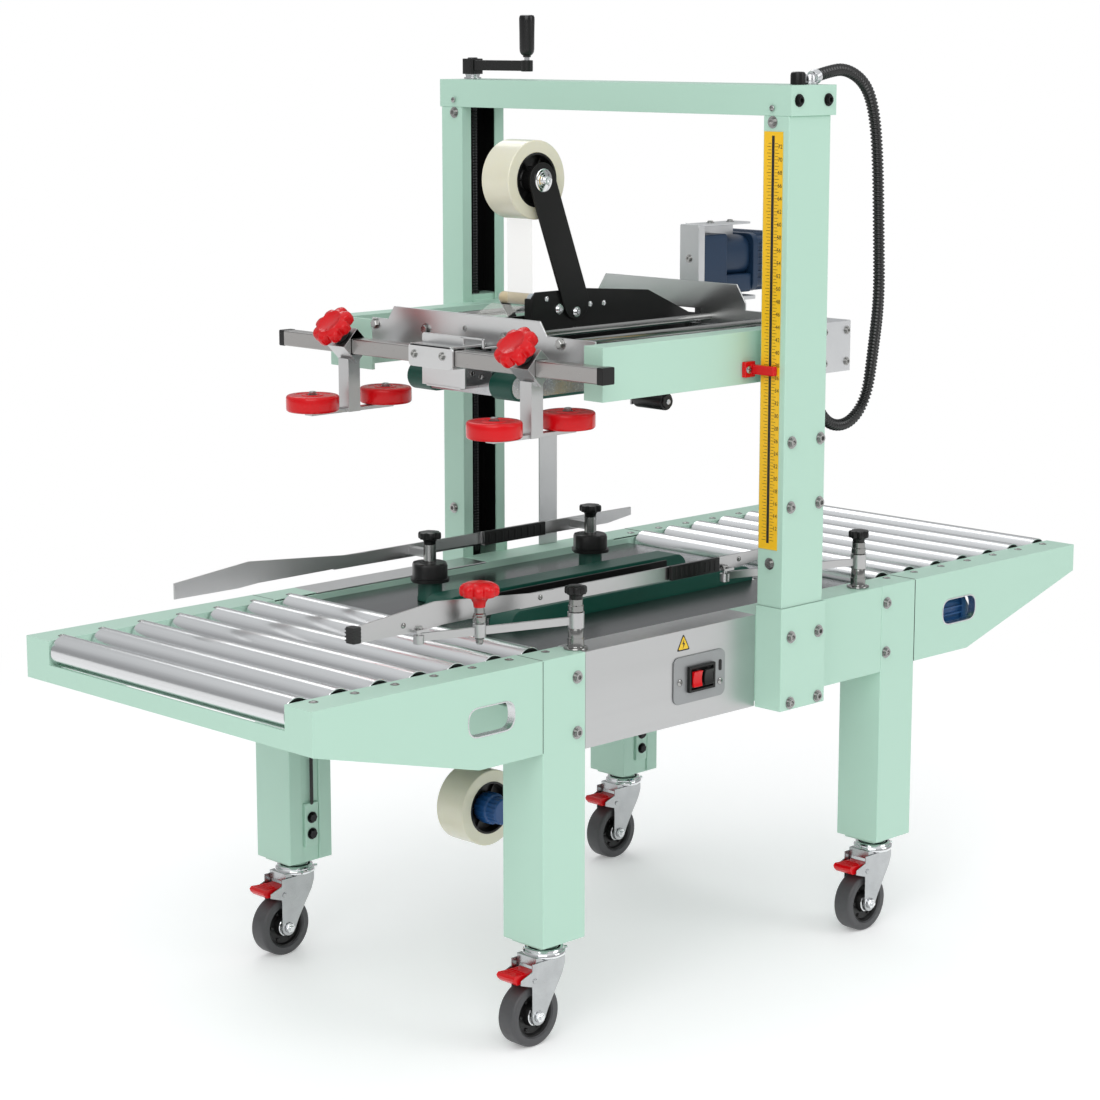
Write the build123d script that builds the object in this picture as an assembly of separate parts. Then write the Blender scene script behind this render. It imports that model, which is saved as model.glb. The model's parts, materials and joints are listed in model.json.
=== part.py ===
"""Carton sealer with top and bottom tape heads, side squeeze discs and folding roller tables.

Millimetres, +Z up, origin on the floor under the middle of the machine.
+X is the direction the cartons travel, -Y is the operator's side.
"""

import math
import os

from build123d import *

os.makedirs("parts", exist_ok=True)

# ---------------------------------------------------------------- driving dimensions
LENGTH = 1800.0
BED_WIDTH = 690.0
BED_HEIGHT = 613.0
BED_DEPTH = 143.0
BED_START = -455.0
BED_END = 435.0
SHEET = 3.0
FLANGE = 60.0
DECK_DROP = 13.0

ROLLER_D = 50.0
ROLLER_PITCH = 75.5
ROLLER_FIRST = 874.0
ROLLER_AXIS_Z = BED_HEIGHT - 19.0
ROLLERS_PER_TABLE = 6

INFEED_NOSE_DEPTH = 66.0
OUTFEED_NOSE_DEPTH = 48.0
NOSE_DROP = 38.0
TABLE_KINK = 585.0
HAND_HOLE_X = 560.0
HAND_HOLE_Z = BED_HEIGHT - 71.0
HAND_HOLE_SIZE = (95.0, 46.0)

CROSS_X = (-205.0, 230.0)
CROSS_TOP = BED_HEIGHT - 123.0

LEG_SIZE = (90.0, 88.0)
LEG_BOTTOM = 164.0
CASTER_D = 100.0
CASTER_TREAD = 34.0
CASTER_TRAIL = 34.0

COLUMN_X = (25.0, 125.0)
COLUMN_T = 52.0
COLUMN_LIP = 22.0
BRACKET_BOTTOM = BED_HEIGHT - 152.0
BRACKET_TOP = BED_HEIGHT + 16.0
BEAM_BOTTOM = 1404.0
BEAM_TOP = 1451.0
SCREW_X = 75.0
SCREW_D = 20.0

HEAD_BOTTOM = 985.0
HEAD_TOP = 1068.0
ARM_T = 40.0
ARM_OUTER = 330.0
CHEEK_INNER = 225.0
HEAD_NOSE = -315.0
HEAD_TAIL = 190.0

BAR_X = -350.0
BAR_Z = 1032.0
BAR_SIZE = 25.0
BAR_LENGTH = 750.0
PRESS_Y = 213.0
PRESS_BOTTOM = 930.0
DISC_D = 86.0
DISC_T = 27.0
DISC_REACH = 78.0

BELT_Y = 96.0
BELT_WIDTH = 50.0
BELT_T = 4.0
UPPER_PULLEY_D = 36.0
UPPER_BELT_REACH = 284.0
UPPER_BELT_Z = 986.0
LOWER_PULLEY_D = 42.0
LOWER_BELT_REACH = 265.0
LOWER_BELT_Z = BED_HEIGHT - 13.0
LOWER_BELT_Y = 78.0

TAPE_D = 126.0
TAPE_CORE_D = 76.0
TAPE_WIDTH = 50.0
UPPER_ROLL = (-161.0, 1300.0)
LOWER_ROLL = (-268.0, BED_HEIGHT - 327.0)
TAPE_PLATE_Y = 40.0

POST_X = (-360.0, 312.0)
POST_INSET = 26.0
POST_Y = BED_WIDTH / 2 - POST_INSET
POST_D = 24.0
GUIDE_ARM = (-250.0, 77.0)
GUIDE_ARM_Z = BED_HEIGHT + 39.0
CLAMP_AT = 0.62
GUIDE_BAR_Z = (GUIDE_ARM_Z + 14.0, GUIDE_ARM_Z + 39.0)
FAR_GUIDE_Y = 196.0
FAR_POST_X = (-230.0, 150.0)

SWITCH_X = -112.0
SWITCH_Z = BED_HEIGHT - 80.0

HOSE_D = 22.0

RUN_GAP = 0.05
CLEAR = 0.5

HALF = LENGTH / 2
SIDE = BED_WIDTH / 2
INNER = SIDE - FLANGE
DECK_Z = BED_HEIGHT - DECK_DROP
BED_BOTTOM = BED_HEIGHT - BED_DEPTH
COLUMN_FACE = SIDE + COLUMN_T
SCREW_Y = SIDE + COLUMN_T / 2
LEG_Y = SIDE - LEG_SIZE[1] / 2
LEG_X = (BED_START + LEG_SIZE[0] / 2, BED_END - LEG_SIZE[0] / 2)


# ---------------------------------------------------------------- helpers
def block(x0, x1, y0, y1, z0, z1):
    """A box between two corners."""
    return Pos((x0 + x1) / 2, (y0 + y1) / 2, (z0 + z1) / 2) * Box(
        abs(x1 - x0), abs(y1 - y0), abs(z1 - z0)
    )


def rod_x(r, x0, x1, y, z):
    """A cylinder along X."""
    return Pos((x0 + x1) / 2, y, z) * Rot(0, 90, 0) * Cylinder(r, abs(x1 - x0))


def rod_y(r, x, y0, y1, z):
    """A cylinder along Y."""
    return Pos(x, (y0 + y1) / 2, z) * Rot(90, 0, 0) * Cylinder(r, abs(y1 - y0))


def rod_z(r, x, y, z0, z1):
    """A cylinder along Z."""
    return Pos(x, y, (z0 + z1) / 2) * Cylinder(r, abs(z1 - z0))


def plate_xz(points, y0, y1):
    """A flat plate with an outline in X and Z, between two Y faces."""
    face = Plane.XZ * make_face(Polyline(*points, close=True))
    return Pos(0, max(y0, y1), 0) * extrude(face, abs(y1 - y0))


def loop_xz(reach, r, z, y0, y1):
    """A round-ended slab, as a belt outline around two pulleys."""
    ends = [rod_y(r, x, y0, y1, z) for x in (-reach, reach)]
    return block(-reach, reach, y0, y1, z - r, z + r) + ends[0] + ends[1]


def lobed_knob(r, depth, height, lobes):
    """A hand knob with round lobes, standing on the origin along +Z."""
    step = 2 * math.pi / lobes
    body = Cylinder(r - depth, height)
    for k in range(lobes):
        spot = Pos((r - depth) * math.cos(k * step), (r - depth) * math.sin(k * step), 0)
        body += spot * Cylinder(depth, height)
    return Pos(0, 0, height / 2) * body


def hex_head(r, height):
    """A hexagon bolt head standing on the origin along +Z."""
    return extrude(RegularPolygon(r, 6), height)


def save(name, *solids):
    """Write one sub-part; its solids stay separate."""
    flat = []
    for item in solids:
        flat.extend(item.solids())
    shape = flat[0] if len(flat) == 1 else Compound(children=flat)
    shape.label = name
    export_step(shape, f"parts/{name}.step")


# ---------------------------------------------------------------- roller tables
def hand_hole(x, y0, y1):
    """The rounded hole cut in a table side to lift it by."""
    w, h = HAND_HOLE_SIZE
    hole = Plane.XZ * Pos(x, HAND_HOLE_Z) * RectangleRounded(w, h, h * 0.45)
    return Pos(0, max(y0, y1) + 5, 0) * extrude(hole, abs(y1 - y0) + 10)


def table_side(sign, nose_depth, near):
    """One folded side plate: web, top flange and the inner lip that holds the axles."""
    joint = BED_START if sign < 0 else BED_END
    nose = sign * HALF
    outline = [
        (nose, BED_HEIGHT),
        (nose, BED_HEIGHT - nose_depth),
        (sign * TABLE_KINK, BED_BOTTOM),
        (joint, BED_BOTTOM),
        (joint, BED_HEIGHT),
    ]
    y_out = near * SIDE
    y_in = near * (SIDE - SHEET)
    web = plate_xz(outline, y_out, y_in)
    web -= hand_hole(sign * HAND_HOLE_X, y_out, y_in)
    x0, x1 = sorted((nose, joint))
    flange = block(x0, x1, y_out, near * INNER, BED_HEIGHT - SHEET, BED_HEIGHT)
    lip = block(x0, x1, near * INNER, near * (INNER + SHEET), BED_HEIGHT - 46, BED_HEIGHT)
    return web + flange + lip


def roller_table(sign, nose_depth):
    """Two sides joined by a low end panel and a cross bar."""
    nose = sign * HALF
    skin = nose - sign * SHEET
    low = BED_HEIGHT - nose_depth
    table = table_side(sign, nose_depth, -1) + table_side(sign, nose_depth, 1)
    table += block(nose, skin, -SIDE, SIDE, low, BED_HEIGHT - NOSE_DROP)
    table += block(nose, nose - sign * 30, -SIDE, SIDE, low, low + SHEET)
    for near in (-1, 1):
        table += block(nose, skin, near * SIDE, near * INNER, low, BED_HEIGHT)
    joint = BED_START if sign < 0 else BED_END
    bar = joint + 20 * sign
    table += block(bar, bar + 8 * sign, -SIDE, SIDE, BED_BOTTOM + 8, BED_BOTTOM + 70)
    return table


def roller(x):
    """A steel tube on a fixed axle, with plastic end caps."""
    reach = INNER - 3.0
    tube = rod_y(ROLLER_D / 2, x, -reach, reach, ROLLER_AXIS_Z)
    tube -= rod_y(ROLLER_D / 2 - 1.5, x, -reach - 1, -reach + 6, ROLLER_AXIS_Z)
    tube -= rod_y(ROLLER_D / 2 - 1.5, x, reach - 6, reach + 1, ROLLER_AXIS_Z)
    for near in (-1, 1):
        tube += rod_y(ROLLER_D / 2 - 3, x, near * (reach - 7), near * (reach - 1), ROLLER_AXIS_Z)
        tube += rod_y(5.5, x, near * (reach - 7), near * INNER, ROLLER_AXIS_Z)
    return tube


save("infeed_table", roller_table(-1, INFEED_NOSE_DEPTH))
save("outfeed_table", roller_table(1, OUTFEED_NOSE_DEPTH))
roller_x = [ROLLER_FIRST - k * ROLLER_PITCH for k in range(ROLLERS_PER_TABLE + 1)]
save("infeed_rollers", *[roller(-x) for x in roller_x])
save("outfeed_rollers", *[roller(x) for x in roller_x])


# ---------------------------------------------------------------- bed
def bed_frame():
    """Inner rails and cross members that carry the deck, plus the short outer plates."""
    rails = []
    for near in (-1, 1):
        rail = block(BED_START, BED_END, near * INNER, near * (INNER + SHEET), BED_BOTTOM, BED_HEIGHT - SHEET)
        floor_x = (BED_START + LEG_SIZE[0], BED_END - LEG_SIZE[0])
        rail += block(*floor_x, near * INNER, near * (SIDE - SHEET), BED_BOTTOM, BED_BOTTOM + SHEET)
        mast_x = (COLUMN_X[0] - 3, COLUMN_X[1] + 6)
        rail += block(*mast_x, near * (SIDE - SHEET), near * SIDE, BED_BOTTOM, BED_HEIGHT)
        rail += block(*mast_x, near * INNER, near * SIDE, BED_HEIGHT - SHEET, BED_HEIGHT)
        plate_x = (COLUMN_X[1] + 6, BED_END - LEG_SIZE[0])
        rail += block(*plate_x, near * SIDE, near * (SIDE - SHEET), BED_BOTTOM - 5, BED_HEIGHT)
        rail += block(*plate_x, near * SIDE, near * INNER, BED_HEIGHT - SHEET, BED_HEIGHT)
        rails.append(rail)
    frame = rails[0] + rails[1]
    for x in (BED_START + 20, CROSS_X[0], CROSS_X[1], BED_END - 28):
        frame += block(x, x + 8, -INNER, INNER, BED_BOTTOM, CROSS_TOP)
    return frame


def side_panel(near):
    """Folded stainless cover of the bed's side, from the infeed leg to the mast."""
    x0 = BED_START + LEG_SIZE[0]
    x1 = COLUMN_X[0] - 3
    skin = block(x0, x1, near * SIDE, near * (SIDE - 2), BED_BOTTOM - 8, BED_HEIGHT)
    top = block(x0, x1, near * SIDE, near * INNER, BED_HEIGHT - 2, BED_HEIGHT)
    foot = block(x0, x1, near * SIDE, near * (SIDE - 20), BED_BOTTOM - 8, BED_BOTTOM - 6)
    panel = skin + top + foot
    if near < 0:
        panel -= block(SWITCH_X - 24, SWITCH_X + 24, -SIDE - 1, -SIDE + 3, SWITCH_Z - 16, SWITCH_Z + 16)
    return panel


def deck():
    """Dark steel plates between the rails, split around the two bottom belts."""
    belt_in = LOWER_BELT_Y - BELT_WIDTH / 2 - 4
    belt_out = LOWER_BELT_Y + BELT_WIDTH / 2 + 4
    x0 = BED_START + 70
    x1 = BED_END - 52
    plates = []
    for near in (-1, 1):
        side = block(x0, x1, near * INNER, near * belt_out, DECK_Z - 2, DECK_Z)
        side += block(x0, x1, near * belt_out, near * (belt_out + 2), DECK_Z - 60, DECK_Z)
        plates.append(side)
    for a, b in ((x0, -210), (235, x1)):
        plates.append(block(a, b, -belt_in, belt_in, DECK_Z - 2, DECK_Z))
    for a, b in ((x0, -LOWER_BELT_REACH - 32), (LOWER_BELT_REACH + 32, x1)):
        for near in (-1, 1):
            plates.append(block(a, b, near * belt_in, near * belt_out, DECK_Z - 2, DECK_Z))
    return plates[0] + plates[1:]


save("bed_frame", bed_frame())
far_upright = block(200, 245, SIDE - 12, SIDE - 9, BED_HEIGHT, HEAD_BOTTOM - 170)
save("side_panels", side_panel(-1), side_panel(1), far_upright)
save("deck_plates", deck())


# ---------------------------------------------------------------- legs and casters
def outer_leg(ix, near):
    """A folded box leg with a long slot towards the middle of the machine."""
    cx = LEG_X[ix]
    half = LEG_SIZE[0] / 2
    y_out = near * SIDE
    y_in = near * (SIDE - LEG_SIZE[1])
    leg = block(cx - half, cx + half, y_out, y_in, LEG_BOTTOM, BED_HEIGHT)
    leg -= block(
        cx - half + SHEET, cx + half - SHEET, y_out - near * SHEET, y_in + near * SHEET,
        LEG_BOTTOM - 1, BED_HEIGHT - SHEET,
    )
    leg -= block(cx - 18, cx + 18, y_in + near * 2 * SHEET, y_in - near, LEG_BOTTOM - 1, BED_BOTTOM - 60)
    return leg - block(
        cx - half - 1, cx + half + 1, near * (INNER + SHEET), y_in - near,
        BED_BOTTOM, BED_HEIGHT + 1,
    )


def inner_leg(ix, near):
    """The telescoping lower leg with its foot plate."""
    cx = LEG_X[ix]
    half = LEG_SIZE[0] / 2 - SHEET
    y_out = near * (SIDE - SHEET)
    y_in = near * (SIDE - LEG_SIZE[1] + SHEET)
    tube = block(cx - half, cx + half, y_out, y_in, LEG_BOTTOM, LEG_BOTTOM + 200)
    tube -= block(
        cx - half + SHEET, cx + half - SHEET, y_out - near * SHEET, y_in + near * SHEET,
        LEG_BOTTOM + 5, LEG_BOTTOM + 201,
    )
    tube += block(cx - 14, cx + 14, y_in, y_in - near * 6, LEG_BOTTOM + 26, LEG_BOTTOM + 101)
    cy = near * LEG_Y
    tube += block(cx - 38, cx + 38, cy - 32, cy + 32, LEG_BOTTOM - 5, LEG_BOTTOM)
    tube += rod_z(20, cx, cy, LEG_BOTTOM - 13, LEG_BOTTOM - 5)
    return tube


caster_spots = {
    "infeed_near": (LEG_X[0], -LEG_Y),
    "infeed_far": (LEG_X[0], LEG_Y),
    "outfeed_near": (LEG_X[1], -LEG_Y),
    "outfeed_far": (LEG_X[1], LEG_Y),
}
save("legs", *[outer_leg(ix, near) for ix in (0, 1) for near in (-1, 1)])
save("inner_legs", *[inner_leg(ix, near) for ix in (0, 1) for near in (-1, 1)])

for name, (cx, cy) in caster_spots.items():
    wheel_x = cx - CASTER_TRAIL
    axle_z = CASTER_D / 2
    wall = CASTER_TREAD / 2 + 1.5
    crown_z = LEG_BOTTOM - 13 - CLEAR
    crown = rod_z(26, cx, cy, crown_z - 16, crown_z)
    crown += block(wheel_x - 4, cx + 6, cy - wall - 3, cy + wall + 3, crown_z - 22, crown_z - 8)
    for side in (-1, 1):
        inner = cy + side * wall
        outer = cy + side * (wall + 3)
        cheek = [
            (wheel_x - 14, axle_z + 4),
            (wheel_x - 8, axle_z - 13),
            (wheel_x + 8, axle_z - 13),
            (cx + 22, crown_z - 22),
            (cx + 22, crown_z - 8),
            (wheel_x + 2, crown_z - 8),
        ]
        crown += plate_xz(cheek, inner, outer)
    axle = rod_y(5, wheel_x, cy - wall - 7, cy + wall + 7, axle_z)
    for side in (-1, 1):
        axle += rod_y(9, wheel_x, cy + side * (wall + 3), cy + side * (wall + 8), axle_z)
    pedal = block(wheel_x - 48, wheel_x + 2, cy - wall, cy + wall, CASTER_D + 14, CASTER_D + 22)
    pedal += block(wheel_x - 46, wheel_x - 12, cy - 17, cy + 17, CASTER_D + 8, CASTER_D + 15)
    save(f"caster_fork_{name}", crown + axle, pedal)
    tyre = rod_y(CASTER_D / 2, wheel_x, cy - CASTER_TREAD / 2, cy + CASTER_TREAD / 2, axle_z)
    tyre -= rod_y(5 + RUN_GAP, wheel_x, cy - CASTER_TREAD, cy + CASTER_TREAD, axle_z)
    for side in (-1, 1):
        face = cy + side * CASTER_TREAD / 2
        dish = rod_y(CASTER_D / 2 - 12, wheel_x, face - side * 5, face + side * 1, axle_z)
        tyre -= dish - rod_y(13, wheel_x, face - side * 6, face + side * 2, axle_z)
    save(f"caster_wheel_{name}", tyre)


# ---------------------------------------------------------------- mast
def column(near):
    """A lipped channel, open towards the bed, that guides the head."""
    x0, x1 = COLUMN_X
    outer = near * COLUMN_FACE
    shell = block(x0, x1, near * SIDE, outer, BRACKET_BOTTOM + 4, BEAM_BOTTOM)
    shell -= block(
        x0 + SHEET, x1 - SHEET, near * (SIDE + SHEET), outer - near * SHEET,
        BRACKET_BOTTOM, BEAM_BOTTOM + 1,
    )
    return shell - block(
        x0 + COLUMN_LIP, x1 - COLUMN_LIP, near * (SIDE - 1), near * (SIDE + SHEET + 1),
        BED_HEIGHT, BEAM_BOTTOM + 1,
    )


def mast_bracket(near):
    """The box at the column's foot, with the screw's bottom bearing."""
    x0 = COLUMN_X[0] - 3
    x1 = COLUMN_X[1] + 6
    outer = near * (COLUMN_FACE + 3)
    shell = block(x0, x1, near * SIDE, outer, BRACKET_BOTTOM, BRACKET_TOP)
    shell -= block(
        COLUMN_X[0], COLUMN_X[1], near * (SIDE - 1), near * COLUMN_FACE,
        BRACKET_BOTTOM + 4, BRACKET_TOP + 1,
    )
    return shell


def top_beam():
    """The folded cap that ties both columns and carries the screws' top bearings."""
    reach = COLUMN_FACE + 4
    beam = block(COLUMN_X[0], COLUMN_X[1] + 8, -reach, reach, BEAM_BOTTOM, BEAM_TOP)
    beam -= block(
        COLUMN_X[0] + SHEET, COLUMN_X[1] + 8 - SHEET, -reach + SHEET, reach - SHEET,
        BEAM_BOTTOM + SHEET, BEAM_TOP - SHEET,
    )
    for near in (-1, 1):
        beam -= rod_z(SCREW_D / 2 + RUN_GAP, SCREW_X, near * SCREW_Y, BEAM_BOTTOM - 1, BEAM_TOP + 1)
    return beam


save("mast_columns", column(-1), column(1))
save("mast_brackets", mast_bracket(-1), mast_bracket(1))

scale_z = (722.0, 1380.0)
scale_y = (-366.5, -SIDE - COLUMN_T + 13)
strip = block(COLUMN_X[0] - 1.5, COLUMN_X[0], -COLUMN_FACE + 11, -SIDE - 2.5, *scale_z)
save("height_scale", strip)


# ---------------------------------------------------------------- lift screws and crank
def lift_screw(near, top):
    """A plain shaft the size of the thread, standing just above its bearing."""
    return rod_z(SCREW_D / 2, SCREW_X, near * SCREW_Y, BRACKET_BOTTOM + 4 + CLEAR, top)


CRANK_Z = 1473.0
CRANK_REACH = 136.0
GRIP_D = 27.0
GRIP_BOTTOM = 1489.0
GRIP_TOP = 1560.0
grip_y = SCREW_Y - CRANK_REACH

near_cap = rod_z(12, SCREW_X, -SCREW_Y, BEAM_TOP + CLEAR, BEAM_TOP + 20)
save("lift_screw_near", lift_screw(-1, BEAM_TOP + CLEAR) + near_cap)
save("lift_screw_far", lift_screw(1, CRANK_Z - 7))
arm = block(SCREW_X - 9, SCREW_X + 9, grip_y, SCREW_Y, CRANK_Z - 4, CRANK_Z + 6)
arm += rod_z(13, SCREW_X, SCREW_Y, BEAM_TOP + CLEAR, CRANK_Z + 9)
arm += rod_z(10, SCREW_X, grip_y, CRANK_Z - 4, CRANK_Z + 11)
arm -= rod_z(SCREW_D / 2, SCREW_X, SCREW_Y, BEAM_TOP - 1, CRANK_Z - 7)
arm += rod_z(4.5, SCREW_X, grip_y, CRANK_Z, GRIP_TOP - 4)
save("crank", arm)
grip = rod_z(GRIP_D / 2, SCREW_X, grip_y, GRIP_BOTTOM, GRIP_TOP)
grip -= rod_z(4.5 + RUN_GAP, SCREW_X, grip_y, GRIP_BOTTOM - 1, GRIP_TOP - 3)
save("crank_grip", grip)


# ---------------------------------------------------------------- head frame
def head_arm(near):
    """A side arm with the carriage that runs inside the column."""
    y0, y1 = near * (ARM_OUTER - ARM_T), near * ARM_OUTER
    nose = HEAD_NOSE if near < 0 else HEAD_NOSE + 25
    arm = block(nose, HEAD_TAIL, y0, y1, HEAD_BOTTOM, HEAD_TOP)
    neck_x = (COLUMN_X[0] + COLUMN_LIP + 2, COLUMN_X[1] - COLUMN_LIP - 2)
    arm += block(*neck_x, y1 - near * 2, near * (SIDE + 8), HEAD_BOTTOM, HEAD_TOP)
    slack = SHEET + 1
    arm += block(
        COLUMN_X[0] + slack, COLUMN_X[1] - slack, near * (SIDE + slack), near * (COLUMN_FACE - slack),
        HEAD_BOTTOM - 10, HEAD_TOP + 10,
    )
    arm -= rod_z(SCREW_D / 2 + CLEAR, SCREW_X, near * SCREW_Y, HEAD_BOTTOM - 20, HEAD_TOP + 20)
    if near > 0:
        arm += block(nose, nose + 6, CHEEK_INNER, y0, HEAD_BOTTOM, HEAD_TOP)
    return arm


cross_reach = ARM_OUTER - ARM_T
cross_front = block(HEAD_NOSE + 25, HEAD_NOSE + 28, -cross_reach, CHEEK_INNER, 1012, 1072)
cross_front -= block(HEAD_NOSE, HEAD_NOSE + 50, -72, 72, 1000, 1046)
cross_rear = block(HEAD_TAIL - 6, HEAD_TAIL - 3, -cross_reach, cross_reach, 1012, 1078)
cross_rear -= block(HEAD_TAIL - 50, HEAD_TAIL, -72, 72, 1000, 1074)
guard_outline = [(-190, 0), (190, 0), (190, 16), (170, 46), (-170, 46), (-190, 16)]


def guard(x, z, reach):
    """An upright sheet with cut corners across the head."""
    pts = [(math.copysign(reach - (190 - abs(y)), y), dz) for y, dz in guard_outline]
    face = Plane.YZ * make_face(Polyline(*pts, close=True))
    return Pos(x, 0, z) * extrude(face, SHEET)


front_guard = guard(HEAD_NOSE + 25, 1048, 190)
rear_guard = guard(HEAD_TAIL - 6, 1074, 172)
save("head_arms", head_arm(-1), head_arm(1))
save("head_plates", cross_front + front_guard, cross_rear + rear_guard)

rod_front = HEAD_NOSE + 28
rod_rear = HEAD_TAIL - 6
rods = [rod_x(6, rod_front, rod_rear, y, 1062) for y in (-215, -92, 92, 215)]
save("head_rods", *rods)

# ---------------------------------------------------------------- top belts
def belt_loop(reach, r, z, y):
    """A flat belt run around its two pulleys."""
    y0, y1 = y - BELT_WIDTH / 2, y + BELT_WIDTH / 2
    return loop_xz(reach, r + BELT_T, z, y0, y1) - loop_xz(reach, r, z, y0 - 1, y1 + 1)


def belt_core(reach, r, z, y):
    """Slide bed and two pulleys inside a belt."""
    y0, y1 = y - BELT_WIDTH / 2 + 2, y + BELT_WIDTH / 2 - 2
    bed = block(-reach + r + 4, reach - r - 4, y0, y1, z - r, z + r)
    return [bed, rod_y(r, -reach, y0, y1, z), rod_y(r, reach, y0, y1, z)]


upper_r = UPPER_PULLEY_D / 2
belts = [belt_loop(UPPER_BELT_REACH, upper_r, UPPER_BELT_Z, y) for y in (-BELT_Y, BELT_Y)]
save("upper_belts", *belts)
carriage = []
for y in (-BELT_Y, BELT_Y):
    inside = y - math.copysign(BELT_WIDTH / 2 + 4, y)
    carriage += belt_core(UPPER_BELT_REACH, upper_r, UPPER_BELT_Z, y)
    wall = plate_xz(
        [(-296, 974), (296, 974), (296, 1000), (250, 1044), (-296, 1044)],
        inside, inside + math.copysign(3, y),
    )
    for x in (-UPPER_BELT_REACH, 0, UPPER_BELT_REACH):
        wall += rod_y(6, x, inside, y - math.copysign(BELT_WIDTH / 2 - 2, y), UPPER_BELT_Z)
    carriage.append(wall)
nose_plate = block(-299, -296, -(BELT_Y - BELT_WIDTH / 2 - 1), BELT_Y - BELT_WIDTH / 2 - 1, 970, 1040)
tail_plate = block(296, 299, -(BELT_Y - BELT_WIDTH / 2 - 1), BELT_Y - BELT_WIDTH / 2 - 1, 974, 1000)
hangers = []
for x in (-264, 156):
    for near in (-1, 1):
        hangers.append(block(x - 6, x + 6, near * 67, near * cross_reach, 1044, 1054))
hold_down = block(-135, -115, -cross_reach, -cross_reach + 4, 955, 1010)
hold_down += rod_y(14, -125, -cross_reach + 4, -cross_reach + 69, 965)
save("upper_belt_carriage", *carriage, nose_plate, tail_plate, *hangers, hold_down)


# ---------------------------------------------------------------- tape heads
def arm_plate(a, b, wide, y0, y1):
    """A round-ended link between two X-Z points."""
    dx, dz = b[0] - a[0], b[1] - a[1]
    length = math.hypot(dx, dz)
    slab = Box(length, abs(y1 - y0), wide)
    turn = -math.degrees(math.atan2(dz, dx))
    link = Pos((a[0] + b[0]) / 2, (y0 + y1) / 2, (a[1] + b[1]) / 2) * Rot(0, turn, 0) * slab
    return link + rod_y(wide / 2, a[0], y0, y1, a[1]) + rod_y(wide / 2, b[0], y0, y1, b[1])


def tape_head(z_carton, up, roll, foot, wall_y):
    """Two side plates with guide rollers, and the arm and axle for the tape roll."""
    def z(h):
        return z_carton + up * h

    outline = [(-180, z(2)), (222, z(2)), (222, z(98)), (190, z(102)), (90, z(146)), (-60, z(158)), (-172, z(158)), (-180, z(150))]
    solids = []
    for near in (-1, 1):
        y0 = near * (TAPE_PLATE_Y - 4)
        solids.append(plate_xz(outline, y0, near * TAPE_PLATE_Y))
    reach = TAPE_PLATE_Y - 4
    for x, h, r in ((-150, 132, 13), (-158, 34, 17), (-60, 60, 9), (60, 60, 9), (178, 34, 17), (-95, 140, 7)):
        solids.append(rod_y(r, x, -reach, reach, z(h)))
    for x in (-110, 200):
        for near in (-1, 1):
            solids.append(rod_y(6, x, near * TAPE_PLATE_Y, near * wall_y, z(46)))
    y_arm = -TAPE_PLATE_Y
    arm = arm_plate(roll, foot, 40, y_arm - 5, y_arm)
    axle = rod_y(6, roll[0], y_arm, 31, roll[1])
    washer = rod_y(12, roll[0], y_arm - 9, y_arm - 5, roll[1])
    washer += rod_y(6, roll[0], y_arm - 15, y_arm - 9, roll[1])
    flange = rod_y(46, roll[0], 27, 31, roll[1])
    solids += [arm + axle + washer + flange]
    return solids


def tape_roll(centre):
    """Tape wound on its core, and the hub it sits on."""
    x, z = centre
    w = TAPE_WIDTH / 2
    ring = rod_y(TAPE_D / 2, x, -w, w, z) - rod_y(TAPE_CORE_D / 2, x, -w - 1, w + 1, z)
    hub = rod_y(TAPE_CORE_D / 2, x, -w - 3, w + 1, z)
    hub += rod_y(16, x, -w - 13, -w - 3, z)
    hub -= rod_y(6 + RUN_GAP, x, -w - 20, w + 20, z)
    return ring, hub


CARTON_TOP = UPPER_BELT_Z - upper_r - BELT_T
upper_foot = (-84.0, 1101.0)
lower_foot = (-150.0, BED_HEIGHT - 113.0)
save("upper_tape_head", *tape_head(CARTON_TOP, 1, UPPER_ROLL, upper_foot, BELT_Y - BELT_WIDTH / 2 - 4))
save("upper_tape_roll", *tape_roll(UPPER_ROLL))
lower_z = LOWER_BELT_Z + LOWER_PULLEY_D / 2 + BELT_T
save("lower_tape_head", *tape_head(lower_z, -1, LOWER_ROLL, lower_foot, LOWER_BELT_Y - BELT_WIDTH / 2 - 4))
save("lower_tape_roll", *tape_roll(LOWER_ROLL))

# ---------------------------------------------------------------- top drive
motor = block(262, 400, -60, 70, 1092, 1192)
motor += rod_x(34, 400, 452, 5, 1142)
motor += block(280, 340, -20, 30, 1040, 1092)
save("upper_motor", motor)
box_bracket = block(232, 262, 20, 78, 1098, 1206)
box_bracket += block(262, 330, 70, 78, 1098, 1206)
box_bracket += block(187, 262, 40, 78, 1098, 1104)
box_bracket += block(187, 190, 40, 78, 1078, 1104)
terminal = block(HEAD_TAIL, 266, -ARM_OUTER, -ARM_OUTER + 66, HEAD_BOTTOM, HEAD_TOP)
terminal = terminal + rod_z(15, 214, -ARM_OUTER + 30, HEAD_BOTTOM - 22, HEAD_BOTTOM)
save("head_electrics", box_bracket, terminal)
pointer = block(-2, 22, -ARM_OUTER - 8, -ARM_OUTER, 996, 1021)
pointer += block(12, 22, -SIDE - 38, -ARM_OUTER - 8, 1001, 1016)
save("height_pointer", pointer)

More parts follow.
